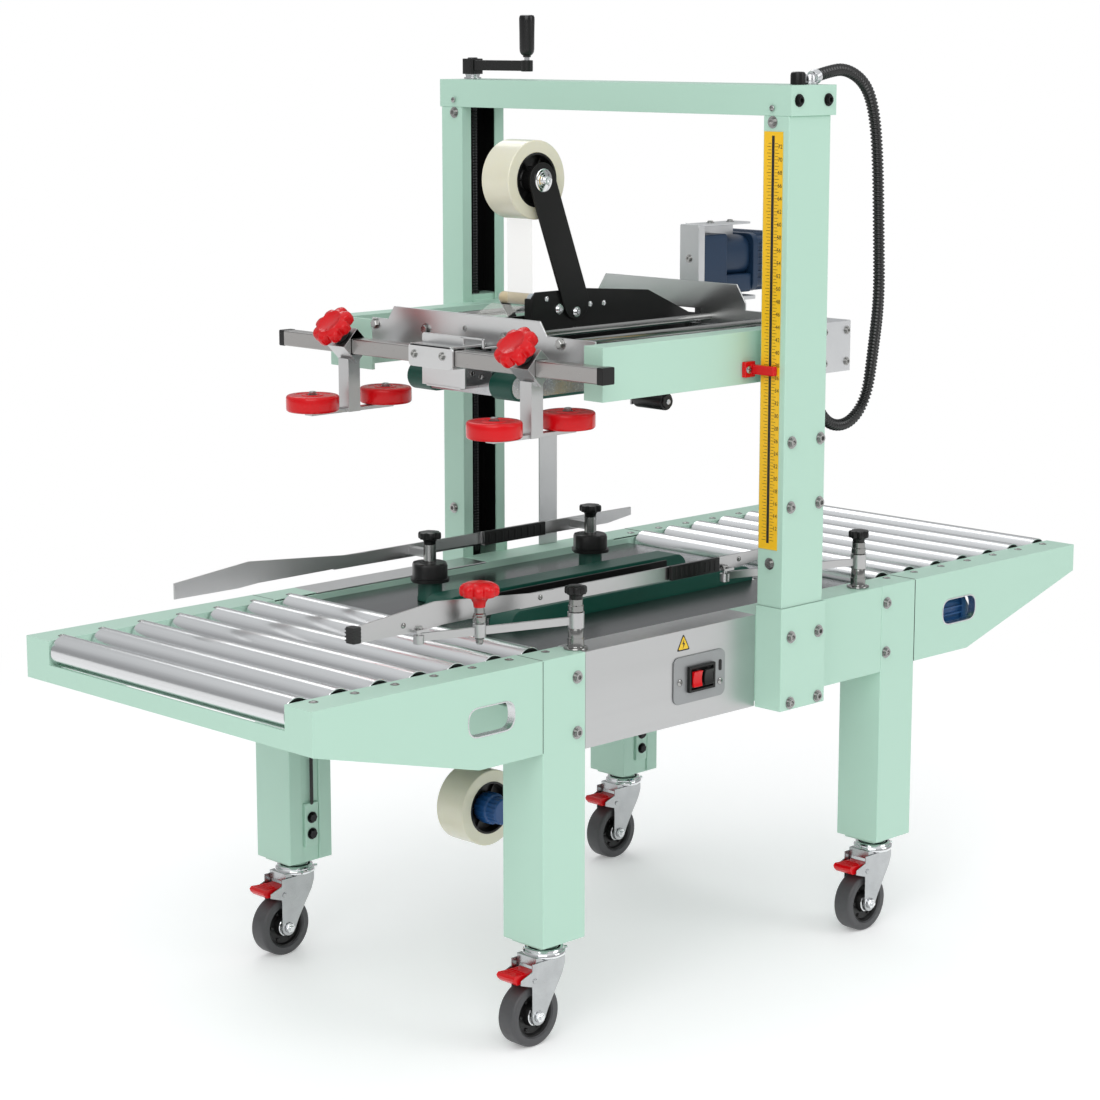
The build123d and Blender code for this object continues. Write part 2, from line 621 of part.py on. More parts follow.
# ---------------------------------------------------------------- front bar and side press
half_bar = BAR_SIZE / 2
bar = block(BAR_X - half_bar, BAR_X + half_bar, -BAR_LENGTH / 2, BAR_LENGTH / 2, BAR_Z - half_bar, BAR_Z + half_bar)
saddle = block(BAR_X - half_bar - 3, BAR_X - half_bar, -52, 52, BAR_Z - 20, BAR_Z + half_bar + 3)
saddle += block(BAR_X - half_bar - 3, HEAD_NOSE + 25, -52, 52, BAR_Z + half_bar, BAR_Z + half_bar + 3)
saddle += block(BAR_X + half_bar, BAR_X + half_bar + 3, -52, 52, BAR_Z - 50, BAR_Z + half_bar)
saddle += block(BAR_X + half_bar, -299, -40, 40, BAR_Z - 52, BAR_Z - 48)
save("front_bar", bar, saddle)


def side_press(near):
    """Clamp on the bar, square drop tube and the cross arm under the two discs."""
    y = near * PRESS_Y
    sleeve = Pos(BAR_X, y, BAR_Z) * Rot(0, 45, 0) * Box(40, 42, 40)
    grow = half_bar + CLEAR
    sleeve -= block(BAR_X - grow, BAR_X + grow, y - 40, y + 40, BAR_Z - grow, BAR_Z + grow)
    tube_top = BAR_Z - grow - 8
    tube = block(BAR_X - half_bar, BAR_X + half_bar, y - half_bar, y + half_bar, PRESS_BOTTOM - 6, tube_top)
    cross = block(BAR_X - DISC_REACH - 10, BAR_X + DISC_REACH + 10, y - 9, y + 9, PRESS_BOTTOM - 6, PRESS_BOTTOM)
    pins = [rod_z(5, BAR_X + side * DISC_REACH, y, PRESS_BOTTOM - 1, 963) for side in (-1, 1)]
    return sleeve + tube + cross + pins[0] + pins[1]


def press_disc(near, side):
    """A flat wheel on a standing pin."""
    x, y = BAR_X + side * DISC_REACH, near * PRESS_Y
    z0 = PRESS_BOTTOM + CLEAR
    disc = rod_z(DISC_D / 2, x, y, z0, z0 + DISC_T)
    return disc - rod_z(5 + RUN_GAP, x, y, z0 - 1, z0 + DISC_T + 1)


def press_knob(near):
    """A lobed hand knob whose stem leans up and forward."""
    knob = Pos(0, 0, 36) * lobed_knob(33, 7, 22, 7)
    knob += Pos(0, 0, 28.5) * Cylinder(7, 16)
    return Pos(BAR_X, near * PRESS_Y, BAR_Z) * Rot(0, -45, 0) * knob


sides = {"near": -1, "far": 1}
ends = {"front": -1, "rear": 1}
for side_name, near in sides.items():
    save(f"side_press_{side_name}", side_press(near))
    save(f"press_knob_{side_name}", press_knob(near))
    for end_name, end in ends.items():
        save(f"press_disc_{side_name}_{end_name}", press_disc(near, end))


# ---------------------------------------------------------------- carton guides
def guide_post(x, y):
    """A standing pin with a foot, a sleeve seat and a hand knob."""
    post = rod_z(17, x, y, BED_HEIGHT, BED_HEIGHT + 5)
    post += rod_z(POST_D / 2, x, y, BED_HEIGHT + 5, GUIDE_ARM_Z - 6 - CLEAR)
    post += rod_z(7, x, y, GUIDE_ARM_Z - 6 - CLEAR, GUIDE_ARM_Z + 42)
    post += rod_z(POST_D / 2, x, y, GUIDE_ARM_Z + 18 + CLEAR, GUIDE_ARM_Z + 36)
    post += Pos(x, y, GUIDE_ARM_Z + 38) * lobed_knob(15, 4, 20, 6)
    return post


save("guide_posts", *[guide_post(x, -POST_Y) for x in POST_X])


def link_arm(x, y, clamp):
    """Swing arm from a post to the guide, level, with an eye at each end."""
    dx, dy = GUIDE_ARM
    length = math.hypot(dx, dy)
    turn = math.degrees(math.atan2(dy, dx))
    bar = Pos(length / 2, 0, 5) * Box(length, 6, 12)
    bar += Pos(0, 0, 6) * Cylinder(13, 24)
    bar += Pos(length, 0, 2) * Cylinder(8, 13)
    if clamp:
        bar += Pos(length * CLAMP_AT, 0, 6) * Cylinder(10, 20)
        bar -= Pos(length * CLAMP_AT, 0, 6) * Cylinder(6 + RUN_GAP, 40)
    bar -= Pos(0, 0, 6) * Cylinder(7 + RUN_GAP, 40)
    bar -= Pos(length, 0, 5) * Cylinder(4 + RUN_GAP, 40)
    return Pos(x, y, GUIDE_ARM_Z) * Rot(0, 0, turn) * bar


for end_name, x in (("front", POST_X[0]), ("rear", POST_X[1])):
    save(f"guide_arm_{end_name}", link_arm(x, -POST_Y, end_name == "front"))

guide_y = -POST_Y + GUIDE_ARM[1]
pivot_front = POST_X[0] + GUIDE_ARM[0]
pivot_rear = POST_X[1] + GUIDE_ARM[0]
low, high = GUIDE_BAR_Z


def guide_rail(y, right_end):
    """Flared blade, straight bar, grip and rubber nose; the work face is towards y."""
    blade = [
        (-725, low), (-600, low), (-560, low + 3), (-420, low + 4), (-330, low + 6),
        (-330, high - 2), (-380, high - 1), (-577, high + 15), (-725, high),
    ]
    rail = plate_xz(blade, y, y + 3)
    straight = [(-400, low + 2), (right_end - 60, low), (right_end, low + 8), (right_end, high - 3), (-400, high - 2)]
    rail += plate_xz(straight, y + 3, y + 7)
    return rail


near_rail = guide_rail(guide_y, 160)
for x in (pivot_front, pivot_rear):
    near_rail += block(x - 12, x + 12, guide_y - 10, guide_y + 4, low, low + 4)
    near_rail += rod_z(4, x, guide_y, GUIDE_ARM_Z - 6, low + 2)
grip_block = block(-71, 44, guide_y - 5, guide_y + 3, low + 1, high - 1)
nose_cap = block(-741, -725, guide_y - 6, guide_y + 12, low + 1, high)
save("guide_near", near_rail, grip_block, nose_cap)
knob_x = POST_X[0] + GUIDE_ARM[0] * CLAMP_AT
knob_y = -POST_Y + GUIDE_ARM[1] * CLAMP_AT
knob_z = GUIDE_ARM_Z + 57
knob = Pos(knob_x, knob_y, knob_z) * lobed_knob(30, 7, 19, 7)
knob += rod_z(10, knob_x, knob_y, knob_z - 29, knob_z + 1)
knob += rod_z(6, knob_x, knob_y, knob_z - 73, knob_z - 28)
save("guide_knob", knob)

far_rail = Pos(0, FAR_GUIDE_Y, 0) * guide_rail(0, 300)
far_rail += block(-71, 76, FAR_GUIDE_Y - 5, FAR_GUIDE_Y + 3, low + 1, high - 1)
for x in FAR_POST_X:
    far_rail += block(x - 7, x + 7, FAR_GUIDE_Y - 40, FAR_GUIDE_Y + 3, low + 6, high - 6)
    far_rail += rod_z(10, x, FAR_GUIDE_Y - 42, low - 4, high + 4)
    far_rail += rod_z(7, x, FAR_GUIDE_Y - 42, DECK_Z + 0.5, high + 8)
    far_rail += block(x - 30, x + 30, FAR_GUIDE_Y - 72, FAR_GUIDE_Y - 12, DECK_Z + 34, DECK_Z + 60)
    far_rail += rod_z(20, x, FAR_GUIDE_Y - 42, DECK_Z + 0.5, DECK_Z + 36)
far_knobs = [Pos(x, FAR_GUIDE_Y - 42, high + 8) * lobed_knob(17, 5, 16, 6) for x in FAR_POST_X]
save("guide_far", far_rail, *far_knobs)

# ---------------------------------------------------------------- switch box
plate_y = -SIDE - 3
plate = Plane.XZ * Pos(SWITCH_X, SWITCH_Z) * RectangleRounded(119, 76, 12)
switch = Pos(0, -SIDE, 0) * extrude(plate, 3)
body = block(SWITCH_X - 30, SWITCH_X + 30, plate_y - 6, plate_y, SWITCH_Z - 21, SWITCH_Z + 21)
body += block(SWITCH_X - 23, SWITCH_X + 23, -SIDE, -SIDE + 44, SWITCH_Z - 15, SWITCH_Z + 15)
cut = block(SWITCH_X - 25.5, SWITCH_X + 25.5, plate_y - 7, plate_y - 0.5, SWITCH_Z - 16.5, SWITCH_Z + 16.5)
save("switch_plate", switch, body - cut)
for name, x in (("stop_button", SWITCH_X - 13), ("start_button", SWITCH_X + 13)):
    save(name, block(x - 12, x + 12, plate_y - 10, plate_y - 4, SWITCH_Z - 16, SWITCH_Z + 16))

# ---------------------------------------------------------------- bottom belts and drive
lower_r = LOWER_PULLEY_D / 2
belts = [belt_loop(LOWER_BELT_REACH, lower_r, LOWER_BELT_Z, y) for y in (-LOWER_BELT_Y, LOWER_BELT_Y)]
save("lower_belts", *belts)
beds = []
for y in (-LOWER_BELT_Y, LOWER_BELT_Y):
    inside = y - math.copysign(BELT_WIDTH / 2 + 4, y)
    beds += belt_core(LOWER_BELT_REACH, lower_r, LOWER_BELT_Z, y)
    wall = block(-290, 290, inside, inside + math.copysign(3, y), BED_BOTTOM + 20, DECK_Z + 8)
    for x in (-LOWER_BELT_REACH, 0, LOWER_BELT_REACH):
        wall += rod_y(6, x, inside, y - math.copysign(BELT_WIDTH / 2 - 2, y), LOWER_BELT_Z)
    beds.append(wall)
save("lower_belt_beds", *beds)
drive_z = BED_HEIGHT - 90
drive = block(472, 640, -322, -242, drive_z - 37, drive_z + 37)
drive += block(BED_END + 28, 472, -306, -258, drive_z - 23, drive_z + 17)
save("lower_motor", drive)

# ---------------------------------------------------------------- fasteners
bolts = []


def bolt_y(x, z, face, near, r=7.0, h=5.0):
    """A hexagon head on a side face."""
    bolts.append(Pos(x, near * face, z) * Rot(-90 * near, 0, 0) * hex_head(r, h))


for near in (-1, 1):
    for drop in (36, 122):
        bolt_y(-383, BED_HEIGHT - drop, SIDE, near)
    for drop in (30, 115):
        bolt_y(358, BED_HEIGHT - drop, SIDE, near)
    for z in (BED_HEIGHT - 32, BRACKET_BOTTOM + 12):
        for x in (45, 113):
            bolt_y(x, z, COLUMN_FACE + 3, near)
    for z in (895, 791):
        for x in (43, 113):
            bolt_y(x, z, COLUMN_FACE, near)
    for x in (43, 113):
        bolt_y(x, 1428, COLUMN_FACE + 4, near)
for cx in LEG_X:
    for near in (-1, 1):
        for z in (212, 240):
            spot = Pos(cx, near * (SIDE - LEG_SIZE[1] - 3), z) * Rot(90 * near, 0, 0)
            bolts.append(spot * hex_head(7, 5))
save("frame_bolts", *bolts)

# ---------------------------------------------------------------- corrugated hose
hose_y = -SCREW_Y
hose_x = COLUMN_X[1] + 12
hose_z = BEAM_TOP + 13
gland = block(96, 112, hose_y - 14, hose_y + 14, BEAM_TOP, BEAM_TOP + 26)
gland += rod_x(13, 112, hose_x - 0.3, hose_y, hose_z)
save("top_beam", top_beam(), gland)
end_x = 214.0
end_y = -ARM_OUTER + 30
end_z = HEAD_BOTTOM - 22
route = [
    (hose_x, hose_y, hose_z),
    (hose_x + 26, hose_y, hose_z),
    (hose_x + 66, hose_y, hose_z + 10),
    (hose_x + 104, hose_y, hose_z - 12),
    (hose_x + 129, hose_y + 1, hose_z - 58),
    (hose_x + 143, hose_y + 3, hose_z - 134),
    (hose_x + 156, hose_y + 8, hose_z - 264),
    (hose_x + 174, hose_y + 19, hose_z - 364),
    (end_x + 124, end_y - 20, end_z + 49),
    (end_x + 132, end_y - 2, end_z - 33),
    (end_x + 93, end_y, end_z - 73),
    (end_x + 39, end_y, end_z - 73),
    (end_x, end_y, end_z - 34),
    (end_x, end_y, end_z),
]


def bend_radii(points):
    """Radius that leaves a little straight between neighbouring bends."""
    radii = []
    for a, b, c in zip(points, points[1:], points[2:]):
        u = Vector(*b) - Vector(*a)
        v = Vector(*c) - Vector(*b)
        turn = math.radians(u.get_angle(v))
        radii.append(0.45 * min(u.length, v.length) / math.tan(turn / 2))
    return radii


radii = bend_radii(route)
print("hose bend radii", [round(r, 1) for r in radii])
path = FilletPolyline(*route, radius=radii)
section = Plane(origin=route[0], z_dir=path % 0) * Circle(HOSE_D / 2)
hose = sweep(section, path=path)
print("hose length", round(path.length, 1), "volume ratio", round(hose.volume / (math.pi * HOSE_D**2 / 4 * path.length), 4))
save("hose", hose)
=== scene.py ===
import json
import math

import bmesh
import bpy
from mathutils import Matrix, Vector

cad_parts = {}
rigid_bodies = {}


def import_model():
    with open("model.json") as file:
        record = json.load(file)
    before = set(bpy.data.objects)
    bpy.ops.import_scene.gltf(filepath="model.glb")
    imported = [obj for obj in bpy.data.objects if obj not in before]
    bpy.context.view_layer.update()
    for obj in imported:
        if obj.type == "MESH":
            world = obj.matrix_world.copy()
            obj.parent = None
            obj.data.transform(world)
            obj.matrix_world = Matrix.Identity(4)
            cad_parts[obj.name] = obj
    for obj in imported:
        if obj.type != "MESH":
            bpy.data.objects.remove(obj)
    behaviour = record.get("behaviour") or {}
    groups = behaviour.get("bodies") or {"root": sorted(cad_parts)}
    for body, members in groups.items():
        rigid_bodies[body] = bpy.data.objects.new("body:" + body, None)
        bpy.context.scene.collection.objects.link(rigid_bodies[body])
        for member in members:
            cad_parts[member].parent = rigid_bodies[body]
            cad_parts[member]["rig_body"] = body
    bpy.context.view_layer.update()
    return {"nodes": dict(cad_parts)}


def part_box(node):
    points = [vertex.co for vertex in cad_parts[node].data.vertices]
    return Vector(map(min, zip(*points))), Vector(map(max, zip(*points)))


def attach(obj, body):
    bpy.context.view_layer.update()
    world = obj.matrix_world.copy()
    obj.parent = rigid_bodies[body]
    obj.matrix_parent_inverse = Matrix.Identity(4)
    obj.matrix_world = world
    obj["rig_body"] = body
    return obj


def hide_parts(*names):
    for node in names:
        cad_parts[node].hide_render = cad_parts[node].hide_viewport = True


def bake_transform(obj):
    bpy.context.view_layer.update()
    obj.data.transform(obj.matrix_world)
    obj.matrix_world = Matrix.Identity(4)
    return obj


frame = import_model()
nodes = frame["nodes"]

# ---------------------------------------------------------------- studio
# A pale floor, white surroundings that darken towards the horizon in reflections,
# two wide soft lamps on the operator's side and one behind, and the camera.
scene = bpy.context.scene
scene.view_settings.view_transform = "Standard"
camera = bpy.data.objects.new("camera", bpy.data.cameras.new("camera"))
camera.data.sensor_width = 36
camera.data.lens = 90.53
camera.location = (-3.2593, -3.2094, 1.5334)
camera.rotation_euler = (math.radians(79.37), 0, math.radians(-44.54))
scene.collection.objects.link(camera)
scene.camera = camera


def lamp(name, place, size, power):
    """A square soft lamp that faces the middle of the machine."""
    light = bpy.data.lights.new(name, "AREA")
    light.size = size
    light.energy = power
    holder = bpy.data.objects.new(name, light)
    holder.location = place
    aim = Vector((0, 0, 0.7)) - Vector(place)
    holder.rotation_euler = aim.to_track_quat("-Z", "Y").to_euler()
    scene.collection.objects.link(holder)


lamp("key_lamp", (-4.2, -3.2, 4.2), 4.5, 150)
lamp("fill_lamp", (2.4, -4.6, 3.0), 2.5, 40)
lamp("back_lamp", (2.5, 4.0, 4.5), 2.4, 30)


def add(tree, kind, **settings):
    """A new node. Settings in small letters are its options, the others its sockets."""
    node = tree.nodes.new(kind)
    for label, value in settings.items():
        if label[0].islower():
            setattr(node, label, value)
        else:
            node.inputs[label.replace("_", " ")].default_value = value
    return node


def wire(tree, *links):
    """Links in a node tree: a node and its output, then a node and its input."""
    for start, output, end, socket in links:
        tree.links.new(start.outputs[output], end.inputs[socket])


floor_mesh = bpy.data.meshes.new("studio_floor")
floor_mesh.from_pydata([(-40, -40, 0), (40, -40, 0), (40, 40, 0), (-40, 40, 0)], [], [(0, 1, 2, 3)])
floor_mesh.materials.append(bpy.data.materials.new("pale_floor"))
floor_mesh.materials[0].use_nodes = True
floor_shader = floor_mesh.materials[0].node_tree.nodes["Principled BSDF"]
floor_shader.inputs["Base Color"].default_value = (0.93, 0.93, 0.93, 1)
floor_shader.inputs["Roughness"].default_value = 0.7
floor_shader.inputs["Emission Color"].default_value = (1, 1, 1, 1)
floor_shader.inputs["Emission Strength"].default_value = 0.24
floor_tree = floor_mesh.materials[0].node_tree
floor_place = add(floor_tree, "ShaderNodeTexCoord")
away = add(floor_tree, "ShaderNodeVectorMath", operation="LENGTH")
fade = add(floor_tree, "ShaderNodeMapRange", interpolation_type="SMOOTHSTEP", From_Min=0.6, From_Max=2.6)
glow = add(floor_tree, "ShaderNodeEmission")
floor_mix = add(floor_tree, "ShaderNodeMixShader")
wire(
    floor_tree,
    (floor_place, "Object", away, 0),
    (away, "Value", fade, "Value"),
    (fade, 0, floor_mix, 0),
    (floor_shader, 0, floor_mix, 1),
    (glow, 0, floor_mix, 2),
    (floor_mix, 0, floor_tree.nodes["Material Output"], "Surface"),
)
studio_floor = bpy.data.objects.new("studio_floor", floor_mesh)
scene.collection.objects.link(studio_floor)

world = bpy.data.worlds.new("surroundings")
scene.world = world
world.use_nodes = True
sky = world.node_tree
direction = add(sky, "ShaderNodeTexCoord")
split = add(sky, "ShaderNodeSeparateXYZ")
ramp = add(sky, "ShaderNodeValToRGB")
ramp.color_ramp.elements[0].position = 0.0
ramp.color_ramp.elements[0].color = (0.34, 0.345, 0.35, 1)
ramp.color_ramp.elements[1].position = 0.8
ramp.color_ramp.elements[1].color = (0.86, 0.87, 0.88, 1)
ramp.color_ramp.elements.new(0.3).color = (0.4, 0.405, 0.41, 1)
seen = add(sky, "ShaderNodeLightPath")
pick = add(sky, "ShaderNodeMix", data_type="RGBA")
pick.inputs[7].default_value = (1, 1, 1, 1)
wire(
    sky,
    (direction, "Generated", split, 0),
    (split, "Z", ramp, "Fac"),
    (seen, "Is Camera Ray", pick, 0),
    (ramp, "Color", pick, 6),
    (pick, 2, sky.nodes["Background"], "Color"),
)


# ---------------------------------------------------------------- hose
# Corrugated black nylon conduit from the gland on the mast's top down to the
# terminal box on the lift head. Its ribs are rolled into the tube wall.
def finish(name, dark, light, rough, metal=0.0, cloud=4.0, grain=500.0, stretch=(1, 1, 1), swing=0.05,
        bump=0.12, depth=0.0003, extra=None):
    """A procedural finish: slow colour drift between two tones (a number is a grey), fine
    grain in the gloss and in the surface."""
    material = bpy.data.materials.new(name)
    material.use_nodes = True
    tree = material.node_tree
    shader = tree.nodes["Principled BSDF"]
    shader.inputs["Metallic"].default_value = metal
    for socket, value in (extra or {}).items():
        shader.inputs[socket].default_value = value
    dark, light = [tone if isinstance(tone, tuple) else (tone, tone, tone) for tone in (dark, light)]
    place = add(tree, "ShaderNodeTexCoord")
    spread = add(tree, "ShaderNodeMapping", Scale=stretch)
    drift = add(tree, "ShaderNodeTexNoise", Scale=cloud, Detail=3)
    fine = add(tree, "ShaderNodeTexNoise", Scale=grain, Detail=4)
    blend = add(tree, "ShaderNodeMix", data_type="RGBA")
    blend.inputs[6].default_value = (*dark, 1)
    blend.inputs[7].default_value = (*light, 1)
    gloss = add(tree, "ShaderNodeMapRange", To_Min=max(0.02, rough - swing), To_Max=rough + swing)
    relief = add(tree, "ShaderNodeBump", Strength=bump, Distance=depth)
    wire(
        tree,
        (place, "Object", spread, "Vector"),
        (spread, "Vector", drift, "Vector"),
        (spread, "Vector", fine, "Vector"),
        (drift, "Fac", blend, 0),
        (blend, 2, shader, "Base Color"),
        (fine, "Fac", gloss, "Value"),
        (gloss, "Result", shader, "Roughness"),
        (fine, "Fac", relief, "Height"),
        (relief, "Normal", shader, "Normal"),
    )
    return material


def baked(obj, tree, values):
    """Run a node tree on an object with named inputs, and keep the plain mesh it makes."""
    modifier = obj.modifiers.new(tree.name, "NODES")
    modifier.node_group = tree
    for socket in tree.interface.items_tree:
        if socket.item_type == "SOCKET" and socket.name in values:
            modifier[socket.identifier] = values[socket.name]
    bpy.context.view_layer.update()
    result = obj.evaluated_get(bpy.context.evaluated_depsgraph_get())
    mesh = bpy.data.meshes.new_from_object(result)
    obj.modifiers.clear()
    obj.data = mesh
    return obj


def new_tree(name, sockets):
    """A node tree with a mesh in, a mesh out and named inputs between them."""
    tree = bpy.data.node_groups.new(name, "GeometryNodeTree")
    tree.interface.new_socket("Geometry", in_out="INPUT", socket_type="NodeSocketGeometry")
    for label, kind in sockets.items():
        tree.interface.new_socket(label, in_out="INPUT", socket_type="NodeSocket" + kind)
    tree.interface.new_socket("Geometry", in_out="OUTPUT", socket_type="NodeSocketGeometry")
    return tree, tree.nodes.new("NodeGroupInput"), tree.nodes.new("NodeGroupOutput")


hose_d = 0.02
rib_pitch = 0.0062
rib_depth = 0.0028
hose_route = [
    (0.121, -0.371, 1.4645), (0.142, -0.371, 1.4695), (0.19, -0.371, 1.4755),
    (0.241, -0.371, 1.452), (0.266, -0.37, 1.406), (0.28, -0.368, 1.33),
    (0.293, -0.363, 1.2), (0.311, -0.352, 1.1), (0.338, -0.32, 1.012),
    (0.346, -0.302, 0.93), (0.307, -0.3, 0.89), (0.253, -0.3, 0.89),
    (0.214, -0.3, 0.929), (0.214, -0.3, 0.963),
]
nylon = finish("black_nylon", 0.006, 0.011, 0.16, grain=900, extra={"Specular IOR Level": 0.6})

line = bpy.data.curves.new("hose_line", "CURVE")
line.dimensions = "3D"
line.resolution_u = 24
spline = line.splines.new("NURBS")
spline.points.add(len(hose_route) - 1)
for point, place in zip(spline.points, hose_route):
    point.co = (*place, 1)
spline.order_u = 3
spline.use_endpoint_u = True
line_holder = bpy.data.objects.new("hose_line", line)
hose_path = bpy.data.meshes.new_from_object(line_holder)

tree, given, made = new_tree("rolled_ribs",
    {"Radius": "Float", "Rib pitch": "Float", "Rib depth": "Float", "Finish": "Material"})
to_curve = add(tree, "GeometryNodeMeshToCurve")
steps = add(tree, "GeometryNodeResampleCurve", mode="LENGTH")
sixth = add(tree, "ShaderNodeMath", operation="DIVIDE")
sixth.inputs[1].default_value = 6
along = add(tree, "GeometryNodeSplineParameter")
turns = add(tree, "ShaderNodeMath", operation="DIVIDE")
angle = add(tree, "ShaderNodeMath", operation="MULTIPLY")
angle.inputs[1].default_value = 2 * math.pi
wave = add(tree, "ShaderNodeMath", operation="COSINE")
swell = add(tree, "ShaderNodeMath", operation="MULTIPLY_ADD")
half_depth = add(tree, "ShaderNodeMath", operation="MULTIPLY")
half_depth.inputs[1].default_value = 0.5
mean = add(tree, "ShaderNodeMath", operation="SUBTRACT")
ring = add(tree, "GeometryNodeCurvePrimitiveCircle", Resolution=20, Radius=1)
skin = add(tree, "GeometryNodeCurveToMesh", Fill_Caps=True)
smooth = add(tree, "GeometryNodeSetShadeSmooth")
real = add(tree, "GeometryNodeRealizeInstances")
paint = add(tree, "GeometryNodeSetMaterial")
wire(
    tree,
    (given, "Geometry", to_curve, "Mesh"),
    (to_curve, "Curve", steps, "Curve"),
    (given, "Rib pitch", sixth, 0),
    (sixth, 0, steps, "Length"),
    (along, "Length", turns, 0),
    (given, "Rib pitch", turns, 1),
    (turns, 0, angle, 0),
    (angle, 0, wave, 0),
    (given, "Rib depth", half_depth, 0),
    (given, "Radius", mean, 0),
    (half_depth, 0, mean, 1),
    (wave, 0, swell, 0),
    (half_depth, 0, swell, 1),
    (mean, 0, swell, 2),
    (steps, "Curve", skin, "Curve"),
    (swell, 0, skin, "Scale"),
    (ring, "Curve", skin, "Profile Curve"),
    (skin, "Mesh", smooth, "Geometry"),
    (smooth, "Geometry", real, "Geometry"),
    (real, "Geometry", paint, "Geometry"),
    (given, "Finish", paint, "Material"),
    (paint, "Geometry", made, "Geometry"),
)

hose = bpy.data.objects.new("corrugated_hose", hose_path)
scene.collection.objects.link(hose)
baked(hose, tree, {"Radius": hose_d / 2, "Rib pitch": rib_pitch, "Rib depth": rib_depth, "Finish": nylon})
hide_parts("hose")
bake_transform(hose)


# ---------------------------------------------------------------- roller tables
# Folded steel trays for the rollers, powder coated mint, with a low end panel
# and a bright trimmed hand-hole in each side.
def shown(name, bm, material, body, slot, replaces=(), edge=0.0, crease=33, segments=2):
    """Close a mesh, set its sharp edges, round them if asked, and fix it to its body."""
    bmesh.ops.remove_doubles(bm, verts=bm.verts, dist=1e-6)
    bmesh.ops.recalc_face_normals(bm, faces=bm.faces)
    return kept(name, bm, material, body, replaces, edge, crease, segments)


def meshed(name, bm, crease):
    """The finished mesh: smooth faces, and edges sharper than the crease angle kept sharp."""
    for face in bm.faces:
        face.smooth = True
    for side in bm.edges:
        side.smooth = len(side.link_faces) == 2 and side.calc_face_angle() < math.radians(crease)
    mesh = bpy.data.meshes.new(name)
    bm.to_mesh(mesh)
    bm.free()
    return mesh


def kept(name, bm, material, body, replaces, edge, crease, segments):
    """The second half of shown, for a mesh whose faces already point outwards."""
    mesh = meshed(name, bm, crease)
    mesh.materials.append(material)
    obj = bpy.data.objects.new(name, mesh)
    scene.collection.objects.link(obj)
    if edge:
        rounding = obj.modifiers.new("rounded_edges", "BEVEL")
        rounding.width = edge
        rounding.segments = segments
        rounding.limit_method = "ANGLE"
        rounding.angle_limit = math.radians(crease)
        rounding.harden_normals = True
    return fitted(obj, body, replaces)


def fitted(obj, body, replaces=()):
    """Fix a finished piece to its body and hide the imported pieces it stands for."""
    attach(obj, body)
    if replaces:
        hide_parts(*replaces)
    return obj


def folded(name, node, material, edge=0.0012, keep=None, crease=33, segments=2):
    """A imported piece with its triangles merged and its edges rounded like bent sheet."""
    bm = bmesh.new()
    bm.from_mesh(nodes[node].data)
    bmesh.ops.remove_doubles(bm, verts=bm.verts, dist=1e-5)
    left = set(bm.verts) if keep else set()
    unwanted = []
    while left:
        island = [left.pop()]
        for vert in island:
            for side in vert.link_edges:
                other = side.other_vert(vert)
                if other in left:
                    left.remove(other)
                    island.append(other)
        low = [min(v.co[k] for v in island) for k in range(3)]
        high = [max(v.co[k] for v in island) for k in range(3)]
        if not keep(low, high):
            unwanted += island
    bmesh.ops.delete(bm, geom=unwanted, context="VERTS")
    bmesh.ops.dissolve_limit(bm, angle_limit=math.radians(0.6), verts=bm.verts, edges=bm.edges)
    return kept(name, bm, material, nodes[node]["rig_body"], (node,), edge, crease, segments)


def plate(bm, outline, low, high, axes="xyz"):
    """A flat outline in the first two axes, as thick as low to high along the third."""
    order = ["xyz".index(a) for a in axes]

    def corner(u, v, w):
        point = [0, 0, 0]
        for spot, value in zip(order, (u, v, w)):
            point[spot] = value
        return bm.verts.new(point)

    floor = [corner(u, v, low) for u, v in outline]
    roof = [corner(u, v, high) for u, v in outline]
    bm.faces.new(floor)
    bm.faces.new(roof[::-1])
    for k, base in enumerate(floor):
        after = (k + 1) % len(floor)
        bm.faces.new([base, roof[k], roof[after], floor[after]])


def bar(bm, x0, x1, y0, y1, z0, z1):
    """A rectangular bar between two corners."""
    plate(bm, rect(x0, x1, y0, y1), z0, z1)


def rect(x0, x1, y0, y1):
    """The corners of a rectangle."""
    return [(x0, y0), (x1, y0), (x1, y1), (x0, y1)]


def span(side, a, b):
    """Two distances on one side of the middle, the lower value first."""
    return sorted((side * a, side * b))


def eased(points, radius, steps=6):
    """An outline with every corner turned on a radius."""
    result = []
    for k, here in enumerate(points):
        here = Vector(here)
        before = (Vector(points[k - 1]) - here).normalized()
        after = (Vector(points[(k + 1) % len(points)]) - here).normalized()
        half = before.angle(after) / 2
        reach = radius / math.tan(half)
        a, c = here + before * reach, here + after * reach
        for step in range(steps + 1):
            t = step / steps
            result.append(a * (1 - t) ** 2 + here * 2 * t * (1 - t) + c * t ** 2)
    return [tuple(p) for p in result]


def frame_of(bm, outer, inner, low, high, axes="xyz"):
    """A ring between two outlines with the same number of points."""
    order = ["xyz".index(a) for a in axes]
    loops = []
    for outline, level in ((outer, low), (outer, high), (inner, high), (inner, low)):
        loop = []
        for u, v in outline:
            point = [0, 0, 0]
            for spot, value in zip(order, (u, v, level)):
                point[spot] = value
            loop.append(bm.verts.new(point))
        loops.append(loop)
    for a, b in zip(loops, loops[1:] + loops[:1]):
        for k in range(len(a)):
            after = (k + 1) % len(a)
            bm.faces.new([a[k], a[after], b[after], b[k]])


